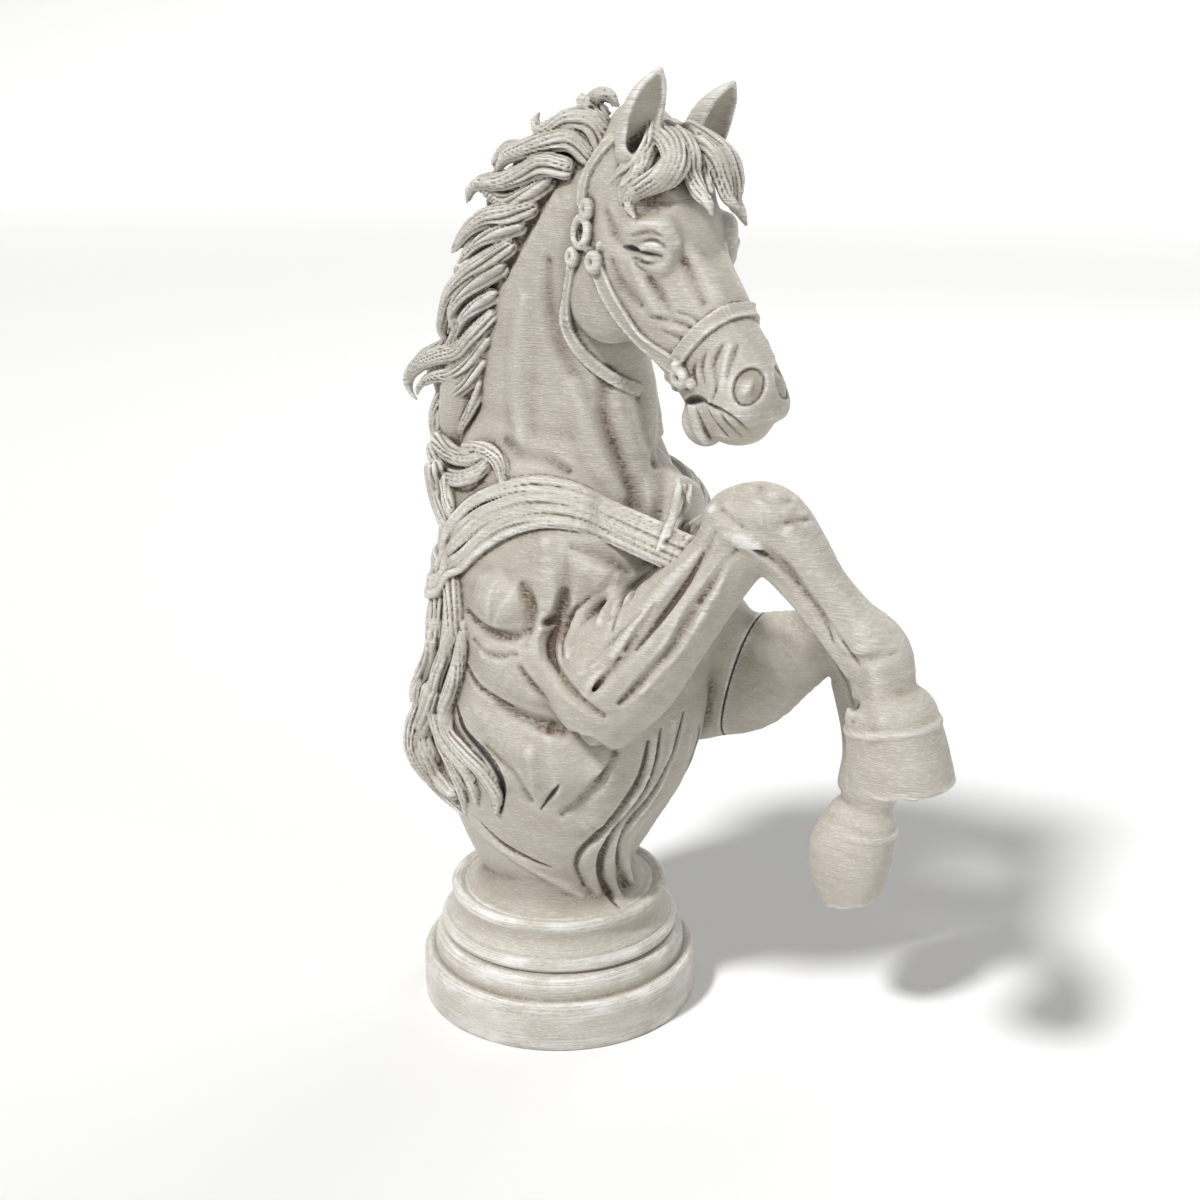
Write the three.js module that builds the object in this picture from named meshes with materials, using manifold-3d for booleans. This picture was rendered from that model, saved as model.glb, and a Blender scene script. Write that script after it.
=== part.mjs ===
// A rearing horse down to the foot of its chest, on a turned socle. It is one print, with the
// far foreleg printed apart and glued on below the shoulder, where its dark seam shows.
// Millimetres, +Z up. The horse looks along +X, and its right side, the near one, faces -Y.
// The origin is the middle of the socle's underside.
import * as THREE from "three";
import { mergeVertices } from "three/addons/utils/BufferGeometryUtils.js";
import Module from "manifold-3d";

const wasm = await Module();
wasm.setup();

// Driving sizes of the socle, from the floor up
const BAND_DIAMETER = 86;
const BAND_HEIGHT = 15;
const BAND_ROUNDING = 2.5;
const OGEE_HEIGHT = 7;
const OGEE_STEP = 3.6;
const TORUS_HEIGHT = 5;
const TORUS_STEP = 3.4;
const COVE_HEIGHT = 8;
const COVE_STEP = 2.2;
const RIM_HEIGHT = 2;
const SOCLE_SIDES = 28;

// Driving sizes of the horse, which stands on the socle
const HORSE_HEIGHT = 243;
const DRAWN_HEIGHT = 243; // the tables of the figure are laid out at this height
const FOOT_RADIUS = 25.5;
const FOOT_FLARE = 6;
const SEAM_GAP = 0.4;

// Driving sizes of the bridle
const STRAP_WIDTH = 3.4;
const STRAP_THICKNESS = 1.1;
const RING_DIAMETER = 8.5;
const RING_WIRE = 2;

const SOCLE_HEIGHT = BAND_HEIGHT + OGEE_HEIGHT + TORUS_HEIGHT + COVE_HEIGHT + RIM_HEIGHT;
const FIGURE_SCALE = HORSE_HEIGHT / DRAWN_HEIGHT;

// Makes a solid of a closed geometry, turned right side out.
function solidOf(geometry) {
  const bare = geometry.clone();
  bare.deleteAttribute("normal");
  bare.deleteAttribute("uv");
  const merged = mergeVertices(bare, 1e-4);
  const triVerts = new Uint32Array(merged.index.array);
  const vertProperties = new Float32Array(merged.attributes.position.array);
  const made = new wasm.Manifold(new wasm.Mesh({ numProp: 3, vertProperties, triVerts }));
  if (made.volume() >= 0) return made;
  return new wasm.Manifold(
    new wasm.Mesh({ numProp: 3, vertProperties, triVerts: triVerts.reverse() }),
  );
}

// Gives a solid back as a geometry.
function geometryOf(solid) {
  const { numProp, vertProperties, triVerts } = solid.getMesh();
  const count = vertProperties.length / numProp;
  const positions = new Float32Array(count * 3);
  for (let i = 0; i < count; i++) {
    positions.set(vertProperties.subarray(i * numProp, i * numProp + 3), i * 3);
  }
  const geometry = new THREE.BufferGeometry();
  geometry.setAttribute("position", new THREE.BufferAttribute(positions, 3));
  geometry.setIndex(new THREE.BufferAttribute(new Uint32Array(triVerts), 1));
  return geometry;
}

const join = (solids) => solids.reduce((whole, piece) => whole.add(piece));

// Leaves out the pockets that joined locks and folds close in between them.
const outerShell = (solid) => join(solid.decompose().filter((shell) => shell.volume() > 0));

const rounded = (value, power) => Math.sign(value) * Math.abs(value) ** (2 / power);

// A closed tube through stations [x, y, z, half width, half depth]. Its width lies along
// `across`; where `out` is given instead, its depth points that way. `wedge` makes the side
// that depth points to wider than the other, and `power` over 2 makes the section squarer.
function loft(stations, options = {}) {
  const { across, out, sides = 12, steps = 10, power = 2, wedge = 0, dome = 0.7 } = options;
  const path = new THREE.CatmullRomCurve3(stations.map(([x, y, z]) => new THREE.Vector3(x, y, z)));
  const girth = new THREE.CatmullRomCurve3(
    stations.map((station) => new THREE.Vector3(station[3], station[4], 0)),
    false,
    "catmullrom",
    0.5,
  );
  const positions = [];
  const addRing = (t, shrink, shift) => {
    const along = path.getTangent(t);
    const { x: halfWidth, y: halfDepth } = girth.getPoint(t);
    const centre = path.getPoint(t).addScaledVector(along, shift * Math.min(halfWidth, halfDepth));
    const width = new THREE.Vector3();
    const depth = new THREE.Vector3();
    if (out) {
      depth.set(...out).addScaledVector(along, -along.dot(depth.clone().set(...out))).normalize();
      width.crossVectors(depth, along);
    } else {
      width.set(...(across ?? [0, 1, 0]));
      width.addScaledVector(along, -along.dot(width)).normalize();
      depth.crossVectors(along, width);
    }
    for (let side = 0; side < sides; side++) {
      const angle = (2 * Math.PI * side) / sides;
      const v = rounded(Math.sin(angle), power);
      const u = rounded(Math.cos(angle), power) * (1 + wedge * v);
      positions.push(
        centre
          .clone()
          .addScaledVector(width, u * halfWidth * shrink)
          .addScaledVector(depth, v * halfDepth * shrink),
      );
    }
    return centre;
  };
  const pole = (t, sign) => {
    const { x, y } = girth.getPoint(t);
    return path.getPoint(t).addScaledVector(path.getTangent(t), sign * dome * Math.min(x, y));
  };
  positions.push(pole(0, -1));
  if (dome > 0) addRing(0, Math.SQRT1_2, -dome * Math.SQRT1_2);
  for (let step = 0; step <= steps; step++) addRing(step / steps, 1, 0);
  if (dome > 0) addRing(1, Math.SQRT1_2, dome * Math.SQRT1_2);
  positions.push(pole(1, 1));
  const rings = (positions.length - 2) / sides;
  const last = positions.length - 1;
  const index = [];
  for (let side = 0; side < sides; side++) {
    const next = (side + 1) % sides;
    index.push(0, 1 + next, 1 + side);
    for (let ring = 0; ring < rings - 1; ring++) {
      const low = 1 + ring * sides;
      const high = low + sides;
      index.push(low + side, low + next, high + next, low + side, high + next, high + side);
    }
    const top = 1 + (rings - 1) * sides;
    index.push(top + side, top + next, last);
  }
  const geometry = new THREE.BufferGeometry().setFromPoints(positions).setIndex(index);
  return solidOf(geometry);
}

// A muscle or other round mass: centre, three radii, and turns about X, Y and Z in degrees.
function mass([x, y, z], radii, turns = [0, 0, 0], sides = 12) {
  const sphere = new THREE.SphereGeometry(1, sides, Math.round(sides * 0.6));
  const turn = new THREE.Euler(...turns.map(THREE.MathUtils.degToRad));
  const place = new THREE.Matrix4().compose(
    new THREE.Vector3(x, y, z),
    new THREE.Quaternion().setFromEuler(turn),
    new THREE.Vector3(...radii),
  );
  return solidOf(sphere.applyMatrix4(place));
}

// A slab for cutting: its middle, its three sizes, and its turn about Y in degrees.
function slab([x, y, z], sizes, turnY = 0) {
  const box = new THREE.BoxGeometry(...sizes);
  box.rotateY(THREE.MathUtils.degToRad(turnY));
  return solidOf(box.translate(x, y, z));
}

const placed = (solid, matrix) => solidOf(geometryOf(solid).applyMatrix4(matrix));

// Socle: a plain band, an ogee, a torus, a cove and a rim with a dished top
function socle() {
  const band = BAND_DIAMETER / 2;
  const ogee = band - OGEE_STEP;
  const torus = ogee - TORUS_STEP;
  const rim = torus - COVE_STEP;
  const ogeeTop = BAND_HEIGHT + OGEE_HEIGHT;
  const torusTop = ogeeTop + TORUS_HEIGHT;
  const coveTop = torusTop + COVE_HEIGHT;
  const profile = new THREE.Path();
  profile.moveTo(0, 0);
  profile.lineTo(band, 0);
  profile.lineTo(band, BAND_HEIGHT - BAND_ROUNDING);
  profile.quadraticCurveTo(band, BAND_HEIGHT, band - BAND_ROUNDING, BAND_HEIGHT);
  profile.lineTo(ogee, BAND_HEIGHT + OGEE_HEIGHT * 0.15);
  profile.quadraticCurveTo(ogee, ogeeTop, torus, ogeeTop);
  profile.quadraticCurveTo(torus + TORUS_STEP * 0.7, ogeeTop + TORUS_HEIGHT / 2, torus, torusTop);
  profile.quadraticCurveTo(torus - COVE_STEP * 2, torusTop + COVE_HEIGHT / 2, rim, coveTop);
  profile.lineTo(rim, coveTop + RIM_HEIGHT * 0.7);
  profile.lineTo(rim - RIM_HEIGHT, SOCLE_HEIGHT);
  profile.lineTo(FOOT_RADIUS - 1, SOCLE_HEIGHT - RIM_HEIGHT);
  profile.lineTo(0, SOCLE_HEIGHT - RIM_HEIGHT);
  return solidOf(new THREE.LatheGeometry(profile.getPoints(2), SOCLE_SIDES).rotateX(Math.PI / 2));
}

// The head has its own frame: x from the poll to the muzzle, z out of the forehead, y to its left.
const HEAD_POLL = [41, -18, 222.5];
const HEAD_TURN = 15; // degrees to the horse's right
const HEAD_DROP = 60; // degrees down from level
const headPlace = new THREE.Matrix4()
  .makeTranslation(...HEAD_POLL)
  .multiply(new THREE.Matrix4().makeRotationZ(THREE.MathUtils.degToRad(-HEAD_TURN)))
  .multiply(new THREE.Matrix4().makeRotationY(THREE.MathUtils.degToRad(HEAD_DROP)));

// Skull, jowls and muzzle, grown all over by `skin`
function skull(skin) {
  const grow = ([x, y, z, a, b]) => [x, y, z, a + skin, b + skin];
  const nose = loft(
    [
      [-5, 0, 0, 8, 8],
      [3, 0, -3, 12, 13],
      [12, 0, -6, 14, 19],
      [23, 0, -9.5, 14.5, 20.5],
      [33, 0, -9, 13, 18],
      [43, 0, -6.5, 11, 15],
      [52, 0, -4.5, 9.2, 13.5],
      [60, 0, -2.5, 8.8, 13.2],
      [68, 0, -1.5, 9.2, 13],
      [75, 0, -3.5, 7.5, 8],
    ].map(grow),
    { sides: 10, steps: 8, power: 2.3, wedge: 0.1, dome: 0.3 },
  );
  const parts = [nose];
  for (const side of [-1, 1]) {
    parts.push(mass([25, side * 6, -21], [16 + skin, 7.5 + skin, 18 + skin], [0, -25, 0], 9));
  }
  return join(parts);
}

// A slab across the head along a straight line of its side view, which the skull's skin trims
function strapBand([x0, z0], [x1, z1]) {
  const length = Math.hypot(x1 - x0, z1 - z0);
  const turn = (-Math.atan2(z1 - z0, x1 - x0) * 180) / Math.PI;
  return slab([(x0 + x1) / 2, 0, (z0 + z1) / 2], [length, 60, STRAP_WIDTH], turn);
}

function bridle() {
  const bands = join([
    strapBand([13, -25], [57, -10]),
    strapBand([48, 15], [59, -24]),
    strapBand([-2, 12], [13, -24]),
  ]).intersect(skull(STRAP_THICKNESS));
  const rings = [-1, 1].map((side) => {
    const torus = new THREE.TorusGeometry((RING_DIAMETER - RING_WIRE) / 2, RING_WIRE / 2, 5, 10);
    return solidOf(torus.rotateX(Math.PI / 2).translate(13.5, side * 12, -22.5));
  });
  return join([bands, ...rings]);
}

function ear(side) {
  const tipY = side < 0 ? -8.5 : 15.5;
  const tipZ = side < 0 ? 22 : 18.5;
  const shell = loft(
    [
      [2, side * 8, 3, 5, 4],
      [-2, side * 9.5, 8.5, 4.8, 3.6],
      [-6, (side * 10 + tipY) / 2, 14.5, 3.6, 2.7],
      [-9.5, tipY, tipZ, 0.8, 0.8],
    ],
    { across: [1, 0, 0.5], sides: 7, steps: 3, dome: 0 },
  );
  const hollow = loft(
    [
      [4.5, side * 9.4, 6, 2.4, 2],
      [0, side * 11.6, 11, 2.6, 2],
      [-5, tipY + side * 2, 16, 1.2, 1.2],
    ],
    { across: [1, 0, 0.5], sides: 4, steps: 2, dome: 0 },
  );
  return shell.subtract(hollow);
}

// Brow, eye, cheek ridge, nostril and lip of one side of the face
function face(side) {
  return join([
    mass([27, side * 11.5, 1.5], [8, 4.2, 5], [0, 12, side * 6], 6),
    mass([30.5, side * 12, -2.5], [4.2, 3.2, 2.8], [0, 12, 0], 6),
    mass([41, side * 9.5, -8], [14, 2.4, 2.2], [0, -12, side * -9], 6),
    mass([70, side * 7, 4.5], [6, 4.2, 6], [0, 35, 0], 8),
    mass([69, side * 6, -9], [8, 3.6, 4], [0, 20, 0], 6),
  ]);
}

function head() {
  const nostrils = [-1, 1].map((side) => mass([71.5, side * 10.8, 5], [2.6, 2.4, 2.2], [0, 35, 0], 6));
  const mouth = slab([73, 0, -9.5], [17, 40, 1.1], 24);
  const chin = mass([71, 0, -15], [6.5, 6, 5.5], [0, 0, 0], 8);
  const bare = join([skull(0), face(-1), face(1), chin]).subtract(join([...nostrils, mouth]));
  return placed(join([bare, bridle(), ear(-1), ear(1)]), headPlace);
}

// Trunk and neck
function trunk() {
  return join([
    loft(
      [
        [0, 0, -2, FOOT_RADIUS + FOOT_FLARE, FOOT_RADIUS + FOOT_FLARE],
        [0, 0, 4, FOOT_RADIUS + FOOT_FLARE / 6, FOOT_RADIUS + FOOT_FLARE / 6],
        [0, 0, 8, FOOT_RADIUS, FOOT_RADIUS],
        [-1, 0, 15, 26, 27.5],
        [-1.5, 0, 26, 28.5, 31],
        [0, 0, 42, 32, 37.5],
        [3, 0, 62, 35, 44],
        [4, 0, 84, 36, 42.5],
        [2, 0, 104, 33.5, 38],
        [2, 0, 120, 29, 36],
        [3, 0, 130, 22, 32],
      ],
      { sides: 14, steps: 10, power: 2.1, dome: 0.15 },
    ),
    loft(
      [
        [0, 0, 106, 27, 36],
        [3, 0, 122, 23, 35],
        [6.5, -2, 143, 18, 30],
        [6, -4, 162, 15.5, 28],
        [8, -7, 180, 14.5, 25],
        [15, -11, 197, 13, 21.5],
        [29, -15, 211, 11, 14],
        [41, -18, 220, 9, 9],
      ],
      { sides: 12, steps: 8, dome: 0.15 },
    ),
  ]);
}

// A foreleg in stations: its forearm, its shank with knee and fetlock, and its hoof
const NEAR_LEG = {
  forearm: [
    [34, -31, 75, 11, 15],
    [45, -31, 88, 12, 16],
    [58, -30, 103, 10.5, 12.5],
    [70, -28, 118, 8.5, 10],
    [78, -27, 129, 9, 10],
  ],
  shank: [
    [75, -27, 130.5, 8.5, 9.5],
    [83, -27, 131.5, 9.5, 11],
    [90, -26, 126, 8, 9.6],
    [98, -25, 117, 6, 7.6],
    [106, -24, 108.5, 6.2, 7.8],
    [113.5, -24, 102, 7.5, 9.2],
    [116.5, -24, 92.5, 6.6, 8.4],
    [118.3, -23.6, 84, 8.6, 10.6],
  ],
  hoof: [
    [118.3, -23.5, 83, 9.5, 11.3],
    [120.5, -23.5, 73, 11, 13],
    [121.8, -23.5, 66, 11.5, 14],
  ],
};

const FAR_LEG = {
  forearm: [
    [30, 30, 62, 12, 18],
    [47, 30, 68, 12, 18.5],
    [60, 28, 75.5, 10.5, 14.5],
    [72, 27, 82.5, 8.5, 10.5],
    [81, 26, 86.5, 8, 9],
  ],
  shank: [
    [80, 26, 89, 8, 8],
    [85, 26, 84, 8.5, 9],
    [89, 25, 75, 6.8, 8],
    [92, 24, 64, 5.8, 7],
    [94, 23, 55, 6.3, 7.5],
    [95, 22, 46, 7.4, 9],
    [93.5, 22, 40, 7, 9],
    [92.5, 21.5, 34, 7.5, 10],
  ],
  hoof: [
    [92, 21.5, 34, 9, 11],
    [89.5, 21, 23, 10.3, 12.3],
    [86.5, 21, 11.5, 10.3, 12],
  ],
};

function limb({ forearm, shank, hoof }, skin = 0) {
  const grow = (stations) => stations.map(([x, y, z, a, b]) => [x, y, z, a + skin, b + skin]);
  return join([
    loft(grow(forearm), { sides: 9, steps: 5, dome: 0.3 }),
    loft(grow(shank), { sides: 9, steps: 8, dome: 0.3 }),
    loft(grow(hoof), { sides: 10, steps: 2, dome: 0 }),
  ]);
}

// Muscles that stand out of the trunk and the limbs
function muscles() {
  const shoulder = (side) => [
    mass([21, side * 20, 111], [20, 13, 22], [0, -15, 0], 8),
    mass([3, side * 26, 97], [10.5, 11, 10], [0, 0, 0], 8),
    mass([16, side * 27, 83], [21, 11, 12], [0, 30, 0], 8),
    mass([37, side * 13, 86], [12, 13, 20], [0, 15, 0], 8),
  ];
  return join([
    ...shoulder(-1),
    ...shoulder(1),
    mass([35, -30, 83], [14, 11.5, 16], [0, 35, 0], 8),
    mass([40, 24, 80], [13, 12, 16], [0, 10, 0], 8),
  ]);
}

// Brings stations from outside, level and towards the trunk's middle, onto the body.
function layOn(body, stations, sink = 0.4) {
  const target = new THREE.Mesh(geometryOf(body), new THREE.MeshBasicMaterial({ side: THREE.DoubleSide }));
  const caster = new THREE.Raycaster();
  return stations.map(([turn, z, radius]) => {
    const angle = THREE.MathUtils.degToRad(turn);
    const outward = new THREE.Vector3(Math.cos(angle), Math.sin(angle), 0);
    const from = new THREE.Vector3(0, 0, z).addScaledVector(outward, 200);
    caster.set(from, outward.clone().negate());
    const [hit] = caster.intersectObject(target);
    const at = hit.point.addScaledVector(outward, -sink * radius);
    return [at.x, at.y, at.z, radius, radius];
  });
}

// Cloth: ridges of a band that crosses the shoulders and meets at the breast, and the folds
// that gather below the breast. Stations are a turn about the upright axis, a height, a radius.
function drapery(body) {
  const ridges = [];
  for (const side of [-1, 1]) {
    for (const row of [0, 1, 2]) {
      ridges.push([
        [side * 180, 118 - row * 7, 3.5],
        [side * 150, 121 - row * 6.5, 3.5],
        [side * 118, 126 - row * 6, 3.2],
        [side * 80, 129 - row * 5.5, 3],
        [side * 45, 125 - row * 5, 2.6],
        [side * 18, 117 - row * 4.5, 2.3],
        [side * 2, 112 - row * 4, 2],
      ]);
    }
    for (const row of side < 0 ? [0, 1, 2] : [0, 1]) {
      ridges.push([
        [side * (4 + row * 12), 64 - row * 4, 2],
        [side * (13 + row * 12), 46 - row * 3, 3],
        [side * (26 + row * 13), 28 - row * 3, 3.4],
        [side * (30 + row * 14), 13 - row * 2, 3],
        [side * (18 + row * 14), 1, 2.4],
      ]);
    }
  }
  return join(ridges.map((ridge) => loft(layOn(body, ridge), { sides: 4, steps: 6, dome: 0 })));
}

// Locks of hair that run down the back and swing round to the near side
function backLocks(body) {
  const locks = [
    [[-166, 112, 3], [-162, 92, 4], [-164, 70, 6], [-162, 50, 8.5], [-155, 33, 8.5], [-135, 21, 3]],
    [[-148, 110, 3], [-146, 88, 3.6], [-148, 64, 4.5], [-146, 46, 5], [-128, 32, 4.4], [-103, 27, 2]],
    [[-172, 78, 3], [-174, 58, 7], [-172, 40, 10], [-165, 25, 7.5], [-150, 12, 3]],
    [[-180, 90, 3], [-184, 64, 6], [-186, 44, 8], [-182, 28, 6], [-176, 14, 3]],
    [[160, 108, 3], [158, 84, 4], [160, 58, 6], [156, 38, 6], [140, 22, 3]],
  ];
  return join(locks.map((lock) => loft(layOn(body, lock, -0.25), { sides: 5, steps: 5, dome: 0 })));
}

// Mane: each lock leaves the crest, sweeps back and curls. Points [x, z], then its half depth.
function mane() {
  const locks = [
    [[30, 219], [28, 227], [26, 233], [29, 236.5], 3.4],
    [[27, 219], [20, 229], [13, 230], [7, 232], [4.5, 227.5], 3.4],
    [[16, 212], [9, 222], [-1, 223], [-7, 221], [-10.5, 216], 3.8],
    [[4, 204], [-4, 212], [-12, 215], [-19, 213], [-21, 207.5], 3.8],
    [[-5, 196], [-13, 203], [-20, 203], [-25, 197], [-29, 190], 4.2],
    [[-11, 188], [-20, 191], [-27, 188], [-33, 181], 4.2],
    [[-15, 178], [-25, 181], [-34, 177], [-40, 168], 4.4],
    [[-19, 169], [-29, 172], [-38, 168], [-44, 161], 4.2],
    [[-21, 160], [-34, 164], [-46, 160], [-52, 154], [-51, 148], 4.2],
    [[-23, 150], [-33, 152], [-41, 148], [-44, 140], 4.2],
    [[-24, 140], [-34, 140], [-41, 133], [-44, 122], 4.4],
    [[-22, 128], [-32, 131], [-40, 124], [-43, 113], 4.4],
  ];
  const drift = (z) => -18 * THREE.MathUtils.smoothstep(z, 130, 232);
  const bed = [
    [30, -16, 218, 8, 6],
    [15, -14, 218, 8.5, 7.5],
    [2, -12, 211, 8.5, 8],
    [-9, -10, 199, 8.5, 8],
    [-17, -8, 184, 8.5, 7.5],
    [-24, -6, 167, 8.5, 8],
    [-29, -4, 148, 9, 8.5],
    [-31, 0, 128, 10, 9],
    [-36, 0, 110, 8, 6],
  ];
  const made = [loft(bed, { sides: 6, steps: 7, dome: 0.3 })];
  locks.forEach((lock, row) => {
    const depth = lock.at(-1);
    const [[rootX, rootZ], ...rest] = lock.slice(0, -1);
    const points = [[rootX, rootZ], ...rest];
    for (const side of row % 2 === 1 ? [-1, 1] : [-1]) {
      const reach = side < 0 ? 1 : 0.84;
      const stations = points.map(([x, z], i) => {
        const along = i / (points.length - 1);
        const slim = 1 - 0.75 * along ** 1.5;
        const y = drift(z) + side * 3.8 * (1 - 0.4 * along);
        const lower = side < 0 ? 1 : 4;
        const backX = rootX + (x - rootX) * reach + (side < 0 ? 2.5 : 0);
        return [backX, y, rootZ + (z - rootZ) * reach - lower, 4 * slim, depth * 1.15 * slim];
      });
      made.push(loft(stations, { sides: 5, steps: 4, dome: 0 }));
    }
  });
  return join(made);
}

// Forelock: three locks from between the ears, in the head's frame
function forelock() {
  const locks = [
    [[-2, -2, 9, 5, 4], [6, -7, 13, 5, 3.4], [13, -12, 10, 4.4, 3], [18, -14, 3, 3, 2.4], [20, -15, -4, 1.2, 1.2]],
    [[-2, 2, 9, 5, 4], [6, 3, 14, 4.4, 3], [14, 1, 15, 3.8, 2.6], [21, 3, 12.5, 2.6, 2], [27, 1, 12, 1, 1]],
    [[-1, 5, 8, 4, 4], [7, 10, 11, 4.4, 3], [14, 13, 7, 3.6, 2.6], [20, 14, 2, 1.4, 1.4]],
    [[-2, -6, 6, 4, 4], [2, -12, 2, 3.6, 3], [8, -14.5, -6, 3, 2.4], [11, -14.5, -15, 1, 1]],
  ];
  return placed(join(locks.map((lock) => loft(lock, { sides: 5, steps: 4, dome: 0 }))), headPlace);
}

const lift = new THREE.Matrix4()
  .makeTranslation(0, 0, SOCLE_HEIGHT)
  .multiply(new THREE.Matrix4().makeScale(FIGURE_SCALE, FIGURE_SCALE, FIGURE_SCALE));

const SEAM = { at: [49.5, 30, 73], turn: 16 };
const seamBlock = (side, gap) => {
  const reach = 200;
  const turn = THREE.MathUtils.degToRad(SEAM.turn);
  const shift = side * (reach / 2 + gap / 2);
  const [x, y, z] = SEAM.at;
  return slab([x + shift * Math.cos(turn), y, z - shift * Math.sin(turn)], [reach, 80, reach], SEAM.turn);
};

const farForeleg = limb(FAR_LEG).subtract(seamBlock(-1, 0));
const farStump = limb(FAR_LEG).subtract(seamBlock(1, 0));
const seamRoom = limb(FAR_LEG, SEAM_GAP).subtract(seamBlock(-1, 2 * SEAM_GAP));

const body = join([trunk(), muscles()]);
const carving = [mane(), forelock(), drapery(body), backLocks(body)];
const figure = [body, limb(NEAR_LEG), farStump, head(), ...carving];
const horse = outerShell(join(figure).subtract(seamRoom));
const bust = join([socle(), placed(horse, lift)]);

const ivory = new THREE.MeshStandardMaterial({ color: 0xcfc8bb, roughness: 0.6, metalness: 0 });

function mesh(name, solid) {
  const made = new THREE.Mesh(geometryOf(solid), ivory);
  made.name = name;
  return made;
}

const sculpture = new THREE.Group();
sculpture.add(mesh("horse_bust", bust), mesh("far_foreleg", placed(farForeleg, lift)));

export default sculpture;
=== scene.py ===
"""Rearing horse bust on a turned socle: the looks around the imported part.

The bust is a desk-size print, so its pieces are sculpted in code as one skin each. Clay holds
the distance to the surface on a grid of points. Tubes, masses, bands and grooves are worked
into it, and the skin is drawn where that distance is nought.
"""

import logging
import math
from dataclasses import dataclass, field
from enum import Enum
from typing import Callable, Iterable, Optional, Sequence

import bpy
import numpy as np
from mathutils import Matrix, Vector


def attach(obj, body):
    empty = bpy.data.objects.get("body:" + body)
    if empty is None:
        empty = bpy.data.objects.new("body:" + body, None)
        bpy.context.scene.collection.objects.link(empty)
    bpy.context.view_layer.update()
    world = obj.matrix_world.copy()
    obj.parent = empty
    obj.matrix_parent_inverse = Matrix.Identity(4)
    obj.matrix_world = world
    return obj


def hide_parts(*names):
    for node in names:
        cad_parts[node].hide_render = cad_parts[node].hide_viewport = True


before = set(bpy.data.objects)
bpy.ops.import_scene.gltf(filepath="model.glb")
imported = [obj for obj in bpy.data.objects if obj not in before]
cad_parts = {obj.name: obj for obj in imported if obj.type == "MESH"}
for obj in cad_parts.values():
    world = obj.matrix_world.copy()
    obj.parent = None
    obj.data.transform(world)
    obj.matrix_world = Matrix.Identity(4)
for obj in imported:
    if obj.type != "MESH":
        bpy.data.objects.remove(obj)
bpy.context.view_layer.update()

logger = logging.getLogger("horse_bust")

MM = 0.001
SOCLE_HEIGHT = 37.0
Rows = Sequence[Sequence[float]]
Point = Sequence[float]


class Side(Enum):
    """The horse's two sides, by the sign of Y in the row frame."""

    RIGHT = -1
    LEFT = 1


class Work(Enum):
    """Whether a tool lays clay on or takes it away."""

    ADD = 1
    CARVE = -1


# Clay


def smooth_least(a: np.ndarray, b: np.ndarray, blend: float) -> np.ndarray:
    """Joins two distance fields with a fillet.

    Args:
        a: The first field, in millimetres.
        b: The second field.
        blend: The fillet's size, 0 for a sharp joint.

    Returns:
        The joined field.
    """
    if blend <= 0:
        return np.minimum(a, b)
    h = np.maximum(blend - np.abs(a - b), 0) / blend
    return np.minimum(a, b) - h * h * blend * 0.25


def curve_points(rows: Rows, steps: int) -> np.ndarray:
    """Runs a Catmull-Rom curve through rows of numbers.

    Args:
        rows: At least two rows, each with a position and any other numbers.
        steps: How many points to put between each two rows.

    Returns:
        The rows of the curve.
    """
    knots = np.asarray(rows, dtype=np.float64)
    if len(knots) == 2:
        t = np.linspace(0, 1, steps + 1)[:, None]
        return knots[0] + (knots[1] - knots[0]) * t
    ends = np.vstack([2 * knots[0] - knots[1], knots, 2 * knots[-1] - knots[-2]])
    out = []
    for i in range(1, len(ends) - 2):
        p0, p1, p2, p3 = ends[i - 1 : i + 3]
        last = i == len(ends) - 3
        t = np.linspace(0, 1, steps + 1)[: steps + 1 if last else steps, None]
        out.append(
            0.5
            * (
                2 * p1
                + (p2 - p0) * t
                + (2 * p0 - 5 * p1 + 4 * p2 - p3) * t**2
                + (3 * p1 - p0 - 3 * p2 + p3) * t**3
            )
        )
    return np.vstack(out)


def unit(v: np.ndarray) -> np.ndarray:
    """Gives rows their direction alone, with length 1."""
    return v / np.maximum(np.linalg.norm(v, axis=-1, keepdims=True), 1e-9)


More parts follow.
